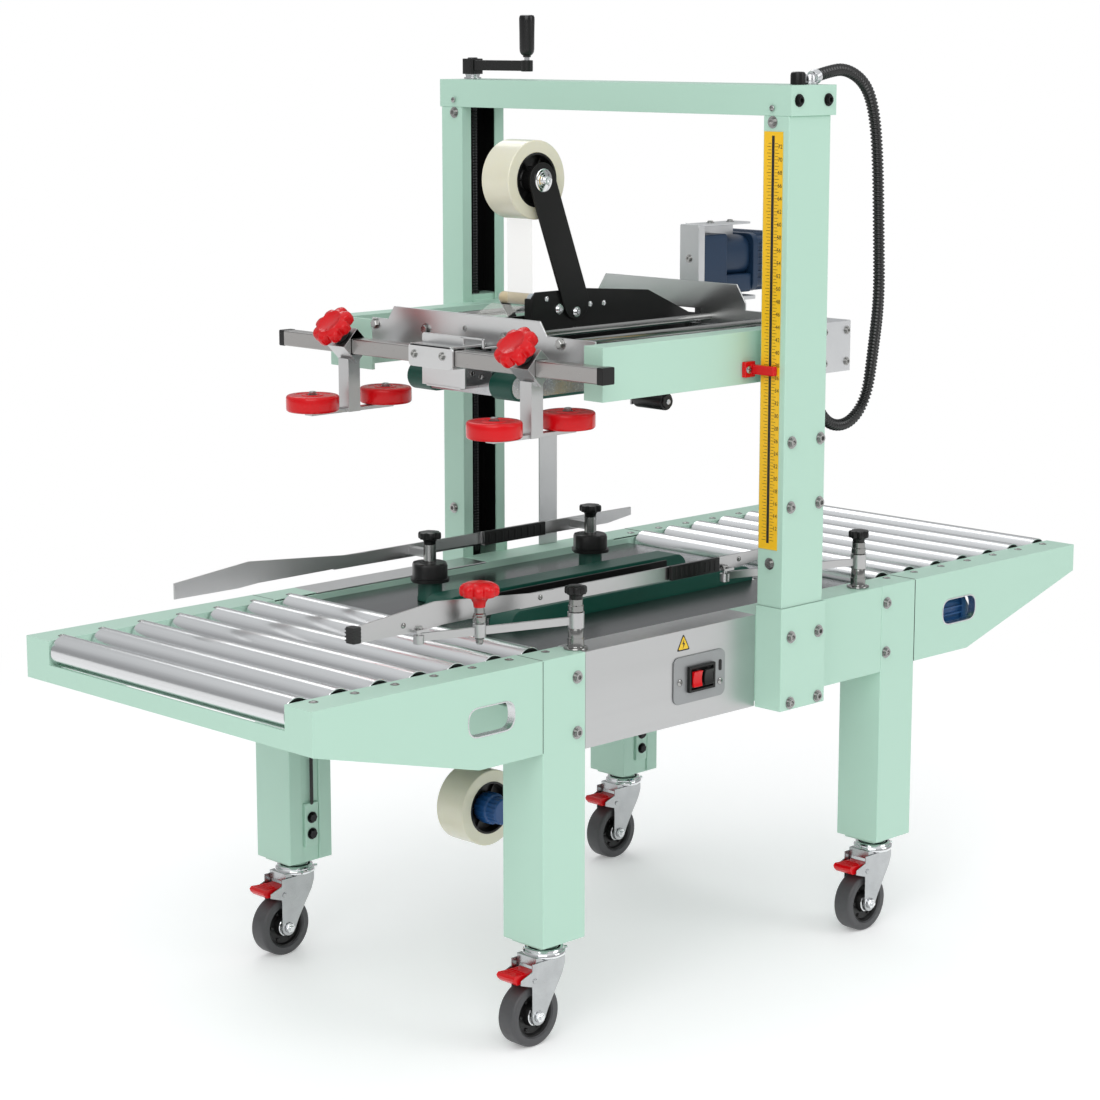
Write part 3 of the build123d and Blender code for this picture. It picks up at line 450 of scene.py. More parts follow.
mint = finish("mint_powder_coat", (0.445, 0.672, 0.552), (0.47, 0.7, 0.58), 0.38, cloud=2.5, grain=1100,
    bump=0.1, depth=0.00012, extra={"Coat Weight": 0.15, "Coat Roughness": 0.25})
bright_trim = finish("trim_steel", (0.62, 0.63, 0.64), (0.72, 0.73, 0.74), 0.28, metal=1.0, grain=700)
table_half = 0.345
hand_hole = rect(-0.0475, 0.0475, -0.023, 0.023)
for end, side in (("infeed", -1), ("outfeed", 1)):
    folded(end + "_table_tray", end + "_table", mint, edge=0.0022, segments=3)
    bm = bmesh.new()
    for near in (-1, 1):
        middle = side * 0.56
        outer = [(x + middle, z + 0.542) for x, z in eased(hand_hole, 0.0205)]
        inner = [(x * 0.955 + middle, z * 0.91 + 0.542) for x, z in eased(hand_hole, 0.0205)]
        faces = span(near, table_half + 0.0006, table_half - 0.014)
        frame_of(bm, outer, inner, *faces, axes="xzy")
    shown(end + "_hand_hole_trim", bm, bright_trim, "frame", "stainless", edge=0.0005)


# ---------------------------------------------------------------- rollers and their screws
# Zinc plated tubes on fixed axles, closed by black nylon end caps. A small
# slotted screw on each flange holds the axle's end.
def turned(bm, profile, at, axis=(0, 0, 1), segments=40, wave=None):
    """A lathe-turned shape, from (radius, distance) steps; wave may change a radius by angle."""
    turn = Vector(axis).to_track_quat("Z", "Y")
    at = Vector(at)
    rings = []
    for radius, reach in profile:
        count = segments if radius > 1e-7 else 1
        ring = []
        for k in range(count):
            swing = 2 * math.pi * k / segments
            out = wave(radius, swing) if wave else radius
            spot = Vector((out * math.cos(swing), out * math.sin(swing), reach))
            ring.append(bm.verts.new(at + turn @ spot))
        rings.append(ring)
    for low, high in zip(rings, rings[1:]):
        for k in range(segments):
            corners = [low[k % len(low)], low[(k + 1) % len(low)], high[(k + 1) % len(high)],
                high[k % len(high)]]
            corners = list(dict.fromkeys(corners))
            if len(corners) > 2:
                bm.faces.new(corners)


def lathe(bm, steps, *place, **options):
    """The same, with its steps in millimetres."""
    turned(bm, [(radius / 1000, reach / 1000) for radius, reach in steps], *place, **options)


def spun(name, steps, at, axis, segments, *look, wave=None, **options):
    """A piece that is one lathe-turned shape."""
    bm = bmesh.new()
    lathe(bm, steps, at, axis, segments, wave=wave)
    shown(name, bm, *look, **options)


def cut(name, outline, low, high, axes, *look, **options):
    """A piece that is one flat outline."""
    bm = bmesh.new()
    plate(bm, outline, low, high, axes=axes)
    shown(name, bm, *look, **options)


def template(name, bm, crease=33):
    """A shape for a node tree to repeat, with smooth faces and sharp edges set."""
    bmesh.ops.remove_doubles(bm, verts=bm.verts, dist=1e-7)
    bmesh.ops.recalc_face_normals(bm, faces=bm.faces)
    return bpy.data.objects.new(name, meshed(name, bm, crease))


def paint_copies(tree):
    """The end of both trees: place the copies, make them real and give them their finish."""
    real = add(tree, "GeometryNodeRealizeInstances")
    paint = add(tree, "GeometryNodeSetMaterial")
    wire(
        tree,
        (source, "Geometry", copies, "Instance"),
        (copies, "Instances", real, "Geometry"),
        (real, "Geometry", paint, "Geometry"),
        (given, "Finish", paint, "Material"),
        (paint, "Geometry", made, "Geometry"),
    )


row_tree, given, made = new_tree("row_of_pieces",
    {"Piece": "Object", "Count": "Int", "First": "Vector", "Step": "Vector", "Finish": "Material"})
source = add(row_tree, "GeometryNodeObjectInfo")
line_up = add(row_tree, "GeometryNodeMeshLine", mode="OFFSET")
copies = add(row_tree, "GeometryNodeInstanceOnPoints")
wire(
    row_tree,
    (given, "Piece", source, "Object"),
    (given, "Count", line_up, "Count"),
    (given, "First", line_up, "Start Location"),
    (given, "Step", line_up, "Offset"),
    (line_up, "Mesh", copies, "Points"),
)
paint_copies(row_tree)


def row(name, piece, count, first, step, material, body, replaces=()):
    """Copies of a template in a straight row, as one mesh."""
    obj = bpy.data.objects.new(name, bpy.data.meshes.new(name))
    scene.collection.objects.link(obj)
    values = {"Piece": piece, "Count": count, "First": first, "Step": step, "Finish": material}
    baked(obj, row_tree, values)
    return fitted(obj, body, replaces)


spot_tree, given, made = new_tree("pieces_at_points",
    {"Piece": "Object", "Size": "Float", "Turn": "Float", "Finish": "Material"})
source = add(spot_tree, "GeometryNodeObjectInfo")
aim = add(spot_tree, "GeometryNodeInputNamedAttribute", data_type="FLOAT_VECTOR", Name="aim")
stand = add(spot_tree, "FunctionNodeAlignRotationToVector", axis="Z")
chance = add(spot_tree, "FunctionNodeRandomValue", data_type="FLOAT", Seed=7)
axis = add(spot_tree, "ShaderNodeCombineXYZ")
as_turn = add(spot_tree, "FunctionNodeEulerToRotation")
rotate = add(spot_tree, "FunctionNodeRotateRotation", rotation_space="LOCAL")
copies = add(spot_tree, "GeometryNodeInstanceOnPoints")
wire(
    spot_tree,
    (given, "Piece", source, "Object"),
    (given, "Geometry", copies, "Points"),
    (given, "Size", copies, "Scale"),
    (aim, "Attribute", stand, "Vector"),
    (given, "Turn", chance, 3),
    (chance, 1, axis, "Z"),
    (axis, "Vector", as_turn, "Euler"),
    (stand, "Rotation", rotate, "Rotation"),
    (as_turn, "Rotation", rotate, "Rotate By"),
    (rotate, "Rotation", copies, "Rotation"),
)
paint_copies(spot_tree)


HERE = (0, 0, 0)
UP, FRONT, REAR, NEAR, FAR = (0, 0, 1), (-1, 0, 0), (1, 0, 0), (0, -1, 0), (0, 1, 0)


def fixed(name, piece, places, material, body, replaces=(), size=1.0, turn=0.0):
    """Copies of a template, each at a point and standing along a direction, as one mesh."""
    mesh = bpy.data.meshes.new(name)
    mesh.from_pydata([point for point, _ in places], [], [])
    facing = mesh.attributes.new("aim", "FLOAT_VECTOR", "POINT")
    for k, (_, way) in enumerate(places):
        facing.data[k].vector = way
    obj = bpy.data.objects.new(name, mesh)
    scene.collection.objects.link(obj)
    baked(obj, spot_tree, {"Piece": piece, "Size": size, "Turn": turn, "Finish": material})
    return fitted(obj, body, replaces)


roller_r = 0.025
roller_half = 0.282
roller_pitch = 0.0755
roller_first = 0.874
roller_z = 0.594
roller_count = 7
roller_steel = finish("zinc_plated_tube", (0.66, 0.67, 0.68), (0.82, 0.83, 0.84), 0.22, metal=1.0, cloud=9,
    grain=260, stretch=(9, 0.15, 9), swing=0.06, bump=0.05)
cap_nylon = finish("cap_nylon", 0.005, 0.01, 0.34, extra={"Specular IOR Level": 0.32})
screw_zinc = finish("screw_zinc", (0.32, 0.32, 0.315), (0.44, 0.44, 0.43), 0.18, metal=1.0, grain=900)

bm = bmesh.new()
wall = 0.0015
turned(bm, [(roller_r - wall, -roller_half + 0.008), (roller_r - wall, -roller_half),
    (roller_r - 0.0006, -roller_half), (roller_r, -roller_half + 0.0006), (roller_r, roller_half - 0.0006),
    (roller_r - 0.0006, roller_half), (roller_r - wall, roller_half),
    (roller_r - wall, roller_half - 0.008)], HERE, FAR, 64)
tube = template("roller_tube", bm)
bm = bmesh.new()
for near in (-1, 1):
    turned(bm, [(0.0045, 0.276), (roller_r - 0.0016, 0.276), (roller_r - 0.0016, 0.2812),
        (roller_r - 0.004, 0.2812), (roller_r - 0.005, 0.2792), (0.013, 0.2792), (0.012, 0.2818),
        (0.0075, 0.2818), (0.0065, 0.28), (0.0045, 0.28), (0.0045, 0.276)], HERE, (0, near, 0), 40)
cap = template("roller_cap", bm)
bm = bmesh.new()
for near in (-1, 1):
    lathe(bm, rect(0, 4.4, 270, 284.8), HERE, (0, near, 0), 6)
axle = template("roller_axle", bm)

bm = bmesh.new()
lathe(bm, [(5.2, 0), (5.2, 0.6), (4.4, 1.4), (3, 1.9), (2.4, 1.9), (2.2, 1.1), (0, 1.1)], HERE, UP, 20)
lathe(bm, [(6.8, 0), (7, 0.4), (5.2, 0.6), (5.2, 0)], HERE, UP, 20)
flange_screw = template("flange_screw", bm)
for end, side in (("infeed", -1), ("outfeed", 1)):
    first = (side * roller_first, 0, roller_z)
    step = (-side * roller_pitch, 0, 0)
    where = (end + "_rollers",)
    row(end + "_roller_tubes", tube, roller_count, first, step, roller_steel, "frame",
        where)
    row(end + "_roller_caps", cap, roller_count, first, step, cap_nylon, "frame", where)
    row(end + "_roller_axles", axle, roller_count, first, step, screw_zinc, "frame", where)
    places = []
    for k in range(roller_count):
        x = side * (roller_first - k * roller_pitch) - 0.012 * side
        places += [((x, near * 0.303, 0.613), UP) for near in (-1, 1)]
    fixed(end + "_axle_screws", flange_screw, places, screw_zinc, "frame", turn=3.0)


# ---------------------------------------------------------------- bed
# Mint rails and cross members with brushed stainless covers on both sides, and
# dark polished slide plates between the rails on which the cartons ride.
stainless = finish("brushed_stainless", (0.51, 0.515, 0.515), (0.6, 0.605, 0.605), 0.33, metal=1.0, cloud=6,
    grain=420, stretch=(0.12, 1, 3), swing=0.1, bump=0.06)
slide_steel = finish("polished_slide_plate", (0.1, 0.105, 0.11), (0.2, 0.205, 0.21), 0.22, metal=1.0,
    cloud=7, grain=300, stretch=(0.1, 3, 1), swing=0.07, bump=0.05)
folded("bed_rails", "bed_frame", mint, edge=0.0014)
folded("bed_covers", "side_panels", stainless, edge=0.001,
    keep=lambda low, high: low[2] < 0.55)
folded("far_upright", "side_panels", stainless, edge=0.001,
    keep=lambda low, high: low[2] > 0.55)
folded("slide_plates", "deck_plates", slide_steel, edge=0.0006)

# ---------------------------------------------------------------- legs
# Folded box legs in mint with a long slot, and the telescoping lower legs whose
# adjusting plate stands beside it.
folded("outer_legs", "legs", mint, edge=0.0024, segments=3)
folded("telescoping_legs", "inner_legs", mint, edge=0.0012)


# ---------------------------------------------------------------- casters
# Grey rubber tyres on black nylon centres with a bright race, in pressed zinc
# forks. A red foot pedal on each works the brake.
def arc_z(radius, step):
    """Rise and fall of a round shoulder after a share of its quarter turn."""
    return radius * math.sin(step * math.pi / 2), radius * (1 - math.cos(step * math.pi / 2))


tyre_rubber = finish("grey_tyre", (0.055, 0.055, 0.058), (0.08, 0.08, 0.084), 0.48, cloud=30, grain=900,
    bump=0.25)
hub_nylon = finish("hub_nylon", 0.005, 0.011, 0.3, grain=1200, extra={"Specular IOR Level": 0.35})
fork_zinc = finish("pressed_zinc", (0.42, 0.43, 0.44), (0.58, 0.59, 0.6), 0.24, metal=1.0, cloud=40,
    grain=500, swing=0.1)
chrome = finish("bright_chrome", (0.78, 0.79, 0.8), (0.85, 0.86, 0.87), 0.09, metal=1.0, grain=400,
    swing=0.04, bump=0.03)
red_nylon = finish("red_moulded", (0.6, 0.002, 0.005), (0.68, 0.003, 0.007), 0.24, cloud=12, grain=900,
    bump=0.08, depth=0.0001, extra={"Coat Weight": 0.12, "Coat Roughness": 0.12, "Specular IOR Level": 0.3})
tyre_half = 0.017
tyre_round = 0.005
for name in ("infeed_near", "infeed_far", "outfeed_near", "outfeed_far"):
    low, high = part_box("caster_wheel_" + name)
    middle = (low + high) / 2
    radius = (high.z - low.z) / 2
    shoulder = [arc_z(tyre_round, k / 5) for k in range(6)]
    wall = [(0.035, -tyre_half + 0.003), (0.037, -tyre_half)]
    wall += [(radius - tyre_round + rise, -tyre_half + fall) for rise, fall in shoulder]
    wall += [(radius - tyre_round + rise, tyre_half - fall) for rise, fall in shoulder[::-1]]
    wall += [(0.037, tyre_half), (0.035, tyre_half - 0.003), (0.035, -tyre_half + 0.003)]
    where = ("caster_wheel_" + name,)
    body = "wheel_" + name
    bm = bmesh.new()
    turned(bm, wall, middle, FAR, 72)
    shown("tyre_" + name, bm, tyre_rubber, body, "tyre_grey", where)
    bm = bmesh.new()
    for near in (-1, 1):
        lathe(bm, [(5.2, 0), (35, 0), (35, 13.5), (32.5, 12.5), (30, 8.5), (19, 7.5), (16, 15), (5.2, 16.5),
            (5.2, 0)], middle, (0, near, 0), 60)
        for k in range(6):
            swing = k * math.pi / 3
            spot = middle + Vector((0.0255 * math.cos(swing), near * 0.007, 0.0255 * math.sin(swing)))
            lathe(bm, [(0, 0), (3, 0), (3, 3), (2, 4), (0, 4)], spot, (0, near, 0), 12)
    shown("wheel_centre_" + name, bm, hub_nylon, body, "black_plastic", where)
    bm = bmesh.new()
    for near in (-1, 1):
        lathe(bm, [(10, 15), (15, 15.2), (16.2, 16.2), (15, 17.2), (10, 17.4), (10, 15)], middle,
            (0, near, 0), 48)
    shown("wheel_race_" + name, bm, chrome, body, "chrome", where)

    fork_body = "fork_" + name
    where = ("caster_fork_" + name,)
    folded("fork_plates_" + name, "caster_fork_" + name, fork_zinc, edge=0.0007,
        keep=lambda low, high: high[2] - low[2] > 0.03)
    swivel = Vector((middle.x + 0.034, middle.y, 0))
    bm = bmesh.new()
    lathe(bm, [(22, 137), (32, 137.5), (34.5, 140), (34.5, 143), (33, 145.5), (30, 146.5), (31, 148.2),
        (30, 150), (28.5, 150.5), (22, 150.5), (22, 137)], swivel, UP, 56)
    lathe(bm, [(0, 33), (3.6, 33), (3.6, 38.5), (2.8, 39.3), (0, 39.3)], swivel + Vector((0, 0, 0.1418)),
        (1, -0.35, 0), 16)
    shown("swivel_race_" + name, bm, chrome, fork_body, "zinc", where)
    bm = bmesh.new()
    heel = [math.pi + k * math.pi / 12 for k in range(11)]
    cheek = [(0.014 * math.cos(a), 0.014 * math.sin(a)) for a in heel]
    cheek += [(0.0215, 0.012), (0.036, 0.036), (0.05, 0.058), (0.056, 0.074), (0.056, 0.086),
        (-0.014, 0.086), (-0.014, 0.074), (-0.038, 0.066), (-0.038, 0.058), (-0.014, 0.05)]
    for near in (-1, 1):
        side = sorted((middle.y + near * 0.0222, middle.y + near * 0.024))
        plate(bm, [(middle.x + u, middle.z + w) for u, w in cheek], *side, axes="xzy")
        lathe(bm, [(0, 23.8), (4.2, 23.8), (4.2, 25.2), (3, 25.8), (0, 25.8)],
            middle + Vector((-0.009, 0, 0.059)), (0, near, 0), 16)
    shown("fork_cheeks_" + name, bm, fork_zinc, fork_body, "zinc", where, edge=0.0006)
    bm = bmesh.new()
    for near in (-1, 1):
        face = middle + Vector((0, near * 0.0238, 0))
        lathe(bm, [(0, 0), (8.8, 0), (8.8, 5), (8, 5.8), (0, 5.8)], face, (0, near, 0), 6)
        lathe(bm, [(0, 5.8), (4.2, 5.8), (4.2, 8.5), (3.4, 9.3), (0, 9.3)], face, (0, near, 0), 16)
    shown("axle_nuts_" + name, bm, chrome, fork_body, "zinc", where, edge=0.0004)
    bm = bmesh.new()
    toe = middle.x - 0.05
    pedal = [(toe, 0.1195), (toe + 0.004, 0.1235), (toe + 0.03, 0.1215), (toe + 0.052, 0.1215),
        (toe + 0.052, 0.1145), (toe + 0.038, 0.1145), (toe + 0.034, 0.1085), (toe + 0.008, 0.1085),
        (toe + 0.002, 0.1145)]
    plate(bm, eased(pedal, 0.0012, 3), middle.y - 0.0185, middle.y + 0.0185, axes="xzy")
    for k in range(4):
        x = toe + 0.008 + k * 0.006
        bar(bm, x, x + 0.002, middle.y - 0.015, middle.y + 0.015, 0.1215, 0.124)
    shown("brake_pedal_" + name, bm, red_nylon, fork_body, "red_plastic", where, edge=0.0008)

# ---------------------------------------------------------------- mast
# Two lipped mint channels joined by a folded cap. The channels are lined in black
# and stand in folded boxes on the bed's sides.
black_paint = finish("black_powder_coat", 0.005, 0.009, 0.34, grain=1100, bump=0.15, depth=0.0002,
    extra={"Specular IOR Level": 0.28})
folded("mast_channels", "mast_columns", mint, edge=0.0022, segments=3)
folded("mast_boxes", "mast_brackets", mint, edge=0.002, segments=3)
folded("mast_cap", "top_beam", mint, edge=0.0026, segments=3,
    keep=lambda low, high: high[1] - low[1] > 0.3)
column_low, column_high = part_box("mast_columns")
bm = bmesh.new()
for near in (-1, 1):
    x0, x1 = column_low.x + 0.003, column_high.x - 0.003
    y0, y1 = span(near, column_high.y - 0.003, column_high.y - 0.0036)
    bar(bm, x0, x1, y0, y1, 0.632, 1.402)
    y0, y1 = span(near, 0.3485, column_high.y - 0.0036)
    bar(bm, x0, x0 + 0.0006, y0, y1, 0.632, 1.402)
    bar(bm, x1 - 0.0006, x1, y0, y1, 0.632, 1.402)
shown("channel_lining", bm, black_paint, "frame", "black_metal")

elbow_at = Vector((0.104, -0.371, 1.451))
bm = bmesh.new()
lathe(bm, [(0, 0), (12.5, 0), (12.5, 3.5), (9.5, 4.5), (9.5, 12), (7.5, 16), (0, 16.5)], elbow_at, UP, 32)
lathe(bm, [(0, -4), (8.5, -4), (8.5, 4), (11.8, 5), (11.8, 12), (10.5, 13), (10.5, 17), (0, 17)],
    elbow_at + Vector((0.002, 0, 0.008)), (0.93, 0, 0.37), 32)
shown("hose_elbow", bm, bright_trim, "frame", "zinc", ("top_beam",), edge=0.0004)

# ---------------------------------------------------------------- height scale
# A yellow printed rule on the near channel, with a black slot down its middle,
# fine marks on both sides and plain numbers in centimetres.
rule_yellow = finish("rule_yellow", (0.88, 0.5, 0.006), (0.94, 0.56, 0.01), 0.42, cloud=10, grain=800)
print_black = finish("printed_black", 0.006, 0.014, 0.45, grain=900)
rule_low, rule_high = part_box("height_scale")
rule_face = rule_low.x - 0.00012
rule_middle = (rule_low.y + rule_high.y) / 2
slot_half = 0.0028
bm = bmesh.new()
bar(bm, rule_low.x, rule_high.x, rule_low.y, rule_high.y, rule_low.z, rule_high.z)
shown("height_rule", bm, rule_yellow, "frame", "scale_yellow", ("height_scale",), edge=0.0005)
bm = bmesh.new()
bar(bm, rule_face, rule_low.x + 0.0004, rule_middle - slot_half, rule_middle + slot_half, rule_low.z + 0.01,
    rule_high.z - 0.006)
shown("rule_slot", bm, print_black, "frame", "black_metal", edge=0.0003)
for label, every, reach in (("fine", 0.005, 0.006), ("long", 0.01, 0.0085)):
    bm = bmesh.new()
    for near in (-1, 1):
        y0 = near * (slot_half + 0.001)
        bar(bm, rule_face, rule_low.x + 0.0002, *sorted((y0, y0 + near * reach)), -0.00032, 0.00032)
    mark = template(label + "_mark", bm)
    count = int((rule_high.z - rule_low.z - 0.03) / every) + 1
    row("rule_marks_" + label, mark, count, (0, rule_middle, rule_low.z + 0.015), (0, 0, every),
        print_black, "frame")
figures = bmesh.new()
for k in range(1, 32):
    glyph = bpy.data.curves.new("figure", "FONT")
    glyph.body = str(10 + 2 * k)
    glyph.size = 0.009
    glyph.align_x = "CENTER"
    glyph.align_y = "CENTER"
    glyph.extrude = 0.00008
    holder = bpy.data.objects.new("figure", glyph)
    mesh = bpy.data.meshes.new_from_object(holder)
    centre = Vector((rule_face, rule_middle - 0.0145, rule_low.z + 0.015 + 0.02 * k))
    for v in mesh.vertices:
        v.co = centre + Vector((-v.co.z, -v.co.x, v.co.y))
    figures.from_mesh(mesh)
    bpy.data.objects.remove(holder)
shown("rule_figures", figures, print_black, "frame", "black_metal")


# ---------------------------------------------------------------- lift screws and crank
# Two long threaded screws stand in the channels. The far one carries the crank
# with its turning grip on top of the cap.
def threaded(bm, radius, depth, pitch, at, low, high, segments=20, steps=5):
    """A screw thread: the radius follows a wave that climbs one pitch each turn."""
    count = int((high - low) / pitch * steps)
    profile = [(0, low), (radius - depth, low)]
    profile += [(radius, low + (high - low) * (k + 0.5) / count) for k in range(count)]
    profile += [(radius - depth, high), (0, high)]
    before = len(bm.verts)
    turned(bm, profile, at, UP, segments)
    bm.verts.ensure_lookup_table()
    for v in bm.verts[before:]:
        out = Vector((v.co.x - at[0], v.co.y - at[1]))
        if out.length < radius * 0.99:
            continue
        phase = v.co.z / pitch - math.atan2(out.y, out.x) / (2 * math.pi)
        crest = abs(2 * (phase - math.floor(phase)) - 1)
        scale = 1 - depth / radius * (1 - crest)
        v.co.x = at[0] + out.x * scale
        v.co.y = at[1] + out.y * scale


thread_steel = finish("black_oxide", (0.022, 0.022, 0.023), (0.045, 0.045, 0.046), 0.26, metal=1.0,
    grain=700)
screw_x = 0.075
screw_y = 0.371
for label, near, top in (("near", -1, 1.4515), ("far", 1, 1.466)):
    bm = bmesh.new()
    at = (screw_x, near * screw_y, 0)
    threaded(bm, 0.01, 0.0011, 0.005, at, 0.64, 1.4)
    lathe(bm, rect(0, 9.8, 466, 641), at, UP, 24)
    turned(bm, rect(0, 0.0098, 1.399, top), at, UP, 24)
    shown("lift_thread_" + label, bm, thread_steel, "screw_" + label, "dark_steel",
        ("lift_screw_" + label,), crease=50)
spun("screw_cap", [(0, 0.6), (12, 0.6), (12, 15), (11, 18.5), (8.5, 20), (0, 20.3)],
    (screw_x, -screw_y, 1.451), UP, 40, black_paint, "screw_near", "black_metal", ("lift_screw_near",))
grip_black = finish("moulded_grip", 0.005, 0.01, 0.24, grain=1400, bump=0.15,
    extra={"Specular IOR Level": 0.4})
grip_low, grip_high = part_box("crank_grip")
grip_at = (grip_low + grip_high) / 2
hub_z = 1.451
hub_at = (screw_x, screw_y, hub_z)
end_at = (grip_at.x, grip_at.y, hub_z)
bm = bmesh.new()
hub_side = rect(screw_x - 0.0135, screw_x + 0.0135, screw_y - 0.0135, screw_y + 0.0135)
plate(bm, eased(hub_side, 0.0045), hub_z + 0.0085, hub_z + 0.035)
lathe(bm, [(0, 34), (8.8, 34), (8.8, 36.2), (7.4, 37), (0, 37)], hub_at, UP, 28)
waist = [(screw_x - 0.0098, screw_y - 0.01), (screw_x + 0.0098, screw_y - 0.01),
    (grip_at.x + 0.0076, grip_at.y), (grip_at.x - 0.0076, grip_at.y)]
plate(bm, waist, hub_z + 0.015, hub_z + 0.0325)
lathe(bm, [(0, 14), (9.5, 14), (10.3, 15), (10.3, 32.2), (9.3, 33.2), (0, 33.2)], end_at, UP, 36)
shown("crank_arm", bm, grip_black, "screw_far", "black_metal", ("crank",), edge=0.0014)
bm = bmesh.new()
lathe(bm, rect(0, 4.5, 30, 99), end_at, UP, 20)
lathe(bm, [(0, 0.6), (15, 0.6), (15, 3), (11.8, 3.4), (11.8, 6), (12.8, 6.4), (12.8, 8.6), (0, 8.6)],
    hub_at, UP, 32)
shown("crank_spindle", bm, chrome, "screw_far", "chrome", ("crank",))
spun("turning_grip", [(4.8, 0), (6.6, 0), (7, 3), (10, 5.2), (12.2, 9.2), (12.7, 14), (12.9, 40),
    (13.3, 62), (13.2, 66.5), (12, 70), (9, 71), (0, 71), (0, 69), (4.8, 69), (4.8, 0)],
    (grip_at.x, grip_at.y, grip_low.z), UP, 48, grip_black, "grip", "black_plastic", ("crank_grip",))


# ---------------------------------------------------------------- lift head
# Two mint side arms tied by stainless cross plates, with four chromed rods that
# the tape head and the belts slide along.
folded("head_side_arms", "head_arms", mint, edge=0.0024, segments=3)
sheet_steel = finish("bright_sheet", (0.62, 0.625, 0.625), (0.72, 0.725, 0.725), 0.3, metal=1.0, cloud=7,
    grain=420, stretch=(1, 0.2, 3), swing=0.05, bump=0.03)
folded("head_cross_plates", "head_plates", sheet_steel, edge=0.0012)
rod_steel = finish("ground_rod", (0.26, 0.26, 0.255), (0.36, 0.36, 0.35), 0.17, metal=1.0, grain=500,
    stretch=(0.1, 1, 1), bump=0.03)
rod_z, head_front, head_rear = 1.062, -0.2903, 0.1875
rod_ends = []
bm = bmesh.new()
for y in (-0.215, -0.092, 0.092, 0.215):
    lathe(bm, [(0, 0), (5.2, 0), (6, 0.8), (6, 470.2), (5.2, 471), (0, 471)], (-0.287, y, rod_z), REAR, 28)
    rod_ends += [((head_front - 0.0002, y, rod_z), FRONT), ((head_rear, y, rod_z), REAR)]
shown("guide_rods", bm, rod_steel, "head", "chrome", ("head_rods",))


def circle(radius, count=24, x=0.0, y=0.0):
    """Points round a circle."""
    angles = [2 * math.pi * k / count for k in range(count)]
    return [(x + radius * math.cos(a), y + radius * math.sin(a)) for a in angles]


def hexagon(radius, count=24):
    """The same number of points round a hexagon."""
    points = []
    for k in range(count):
        a = 2 * math.pi * k / count
        within = (a % (math.pi / 3)) - math.pi / 6
        reach = radius * math.cos(math.pi / 6) / math.cos(within)
        points.append((reach * math.cos(a), reach * math.sin(a)))
    return points


bm = bmesh.new()
lathe(bm, rect(0, 10, 0, 1.2), HERE, UP, 24)
frame_of(bm, circle(0.0074), hexagon(0.004), 0.0012, 0.0044)
frame_of(bm, circle(0.0062), hexagon(0.004), 0.0044, 0.0056)
lathe(bm, rect(0, 5.5, 1.2, 2.2), HERE, UP, 24)
socket_screw = template("socket_screw", bm)
bm = bmesh.new()
lathe(bm, rect(0, 9.8, 0, 1.2), HERE, UP, 24)
lathe(bm, [(0, 1.2), (7.8, 1.2), (7.8, 5.2), (6.8, 6), (0, 6.2)], HERE, UP, 6)
hex_screw = template("hex_screw", bm)
bm = bmesh.new()
lathe(bm, [(0, 0), (4.8, 0), (4.6, 0.8), (3.6, 1.6), (1.4, 2), (1.2, 1), (0, 1)], HERE, UP, 20)
pan_screw = template("pan_screw", bm)
fixed("rod_nuts", hex_screw, rod_ends, screw_zinc, "head", size=0.95, turn=1.0)
guard_screws = [((head_front, y, z), FRONT) for y, z in ((0, 1.07), (0.262, 1.03), (-0.262, 1.03))]
guard_screws += [((head_rear, y, 1.03), REAR) for y in (0.262, -0.262)]
fixed("guard_screws", pan_screw, guard_screws, screw_zinc, "head", turn=3.0)

# ---------------------------------------------------------------- top belts
# Two ribbed green belts on steel pulleys drive the carton under the head. They
# hang in a zinc plated carriage with a rubber hold-down roller beside it.
belt_green = finish("green_belt", (0.002, 0.06, 0.04), (0.004, 0.085, 0.06), 0.44, cloud=14, grain=420,
    stretch=(2.2, 0.03, 2.2), swing=0.08, bump=0.45, depth=0.0005)


def stadium(reach, radius, z, count=20):
    """The run of a belt round two pulleys, as points in X and Z."""
    points = []
    for side in (1, -1):
        for k in range(count + 1):
            swing = math.pi * (k / count - 0.5)
            points.append((side * (reach + radius * math.cos(swing)), z + side * radius * math.sin(swing)))
    return points


def belt(name, reach, radius, z, y, node, body):
    """One endless belt, 4 mm thick and 50 mm wide."""
    bm = bmesh.new()
    frame_of(bm, stadium(reach, radius + 0.004, z), stadium(reach, radius, z), y - 0.025, y + 0.025,
        axes="xzy")
    shown(name, bm, belt_green, body, "belt_green", (node,), edge=0.001)


for label, near in (("near", -1), ("far", 1)):
    belt("top_belt_" + label, 0.284, 0.018, 0.986, near * 0.096, "upper_belts", "head")
folded("top_belt_carriage", "upper_belt_carriage", fork_zinc, edge=0.0008,
    keep=lambda low, high: not (low[2] < 0.953 and low[1] < -0.2))
hold_down_at = (-0.125, -0.287, 0.965)
spun("hold_down_roller", [(4, 0), (10.5, 0), (11, 1), (11, 3), (13.5, 3.4), (14, 5), (14, 63), (13, 65),
    (4, 65), (4, 0)], hold_down_at, FAR, 40, hub_nylon, "head", "black_plastic", ("upper_belt_carriage",))
bm = bmesh.new()
lathe(bm, [(0, -2), (3.6, -2), (4.4, -1.2), (4.4, 70), (0, 70)], hold_down_at, FAR, 20)
bar(bm, -0.135, -0.115, -0.29, -0.214, 0.99, 0.9925)
bar(bm, -0.135, -0.115, -0.2172, -0.214, 0.955, 0.9925)
shown("hold_down_bracket", bm, fork_zinc, "head", "zinc", ("upper_belt_carriage",), edge=0.0006)
nose_screws = [((-0.2995, y, z), FRONT) for y, z in ((0.034, 0.9995), (-0.0265, 1.0005), (-0.046, 0.998))]
fixed("carriage_screws", socket_screw, nose_screws[:1], screw_zinc, "head", size=0.85, turn=1.0)
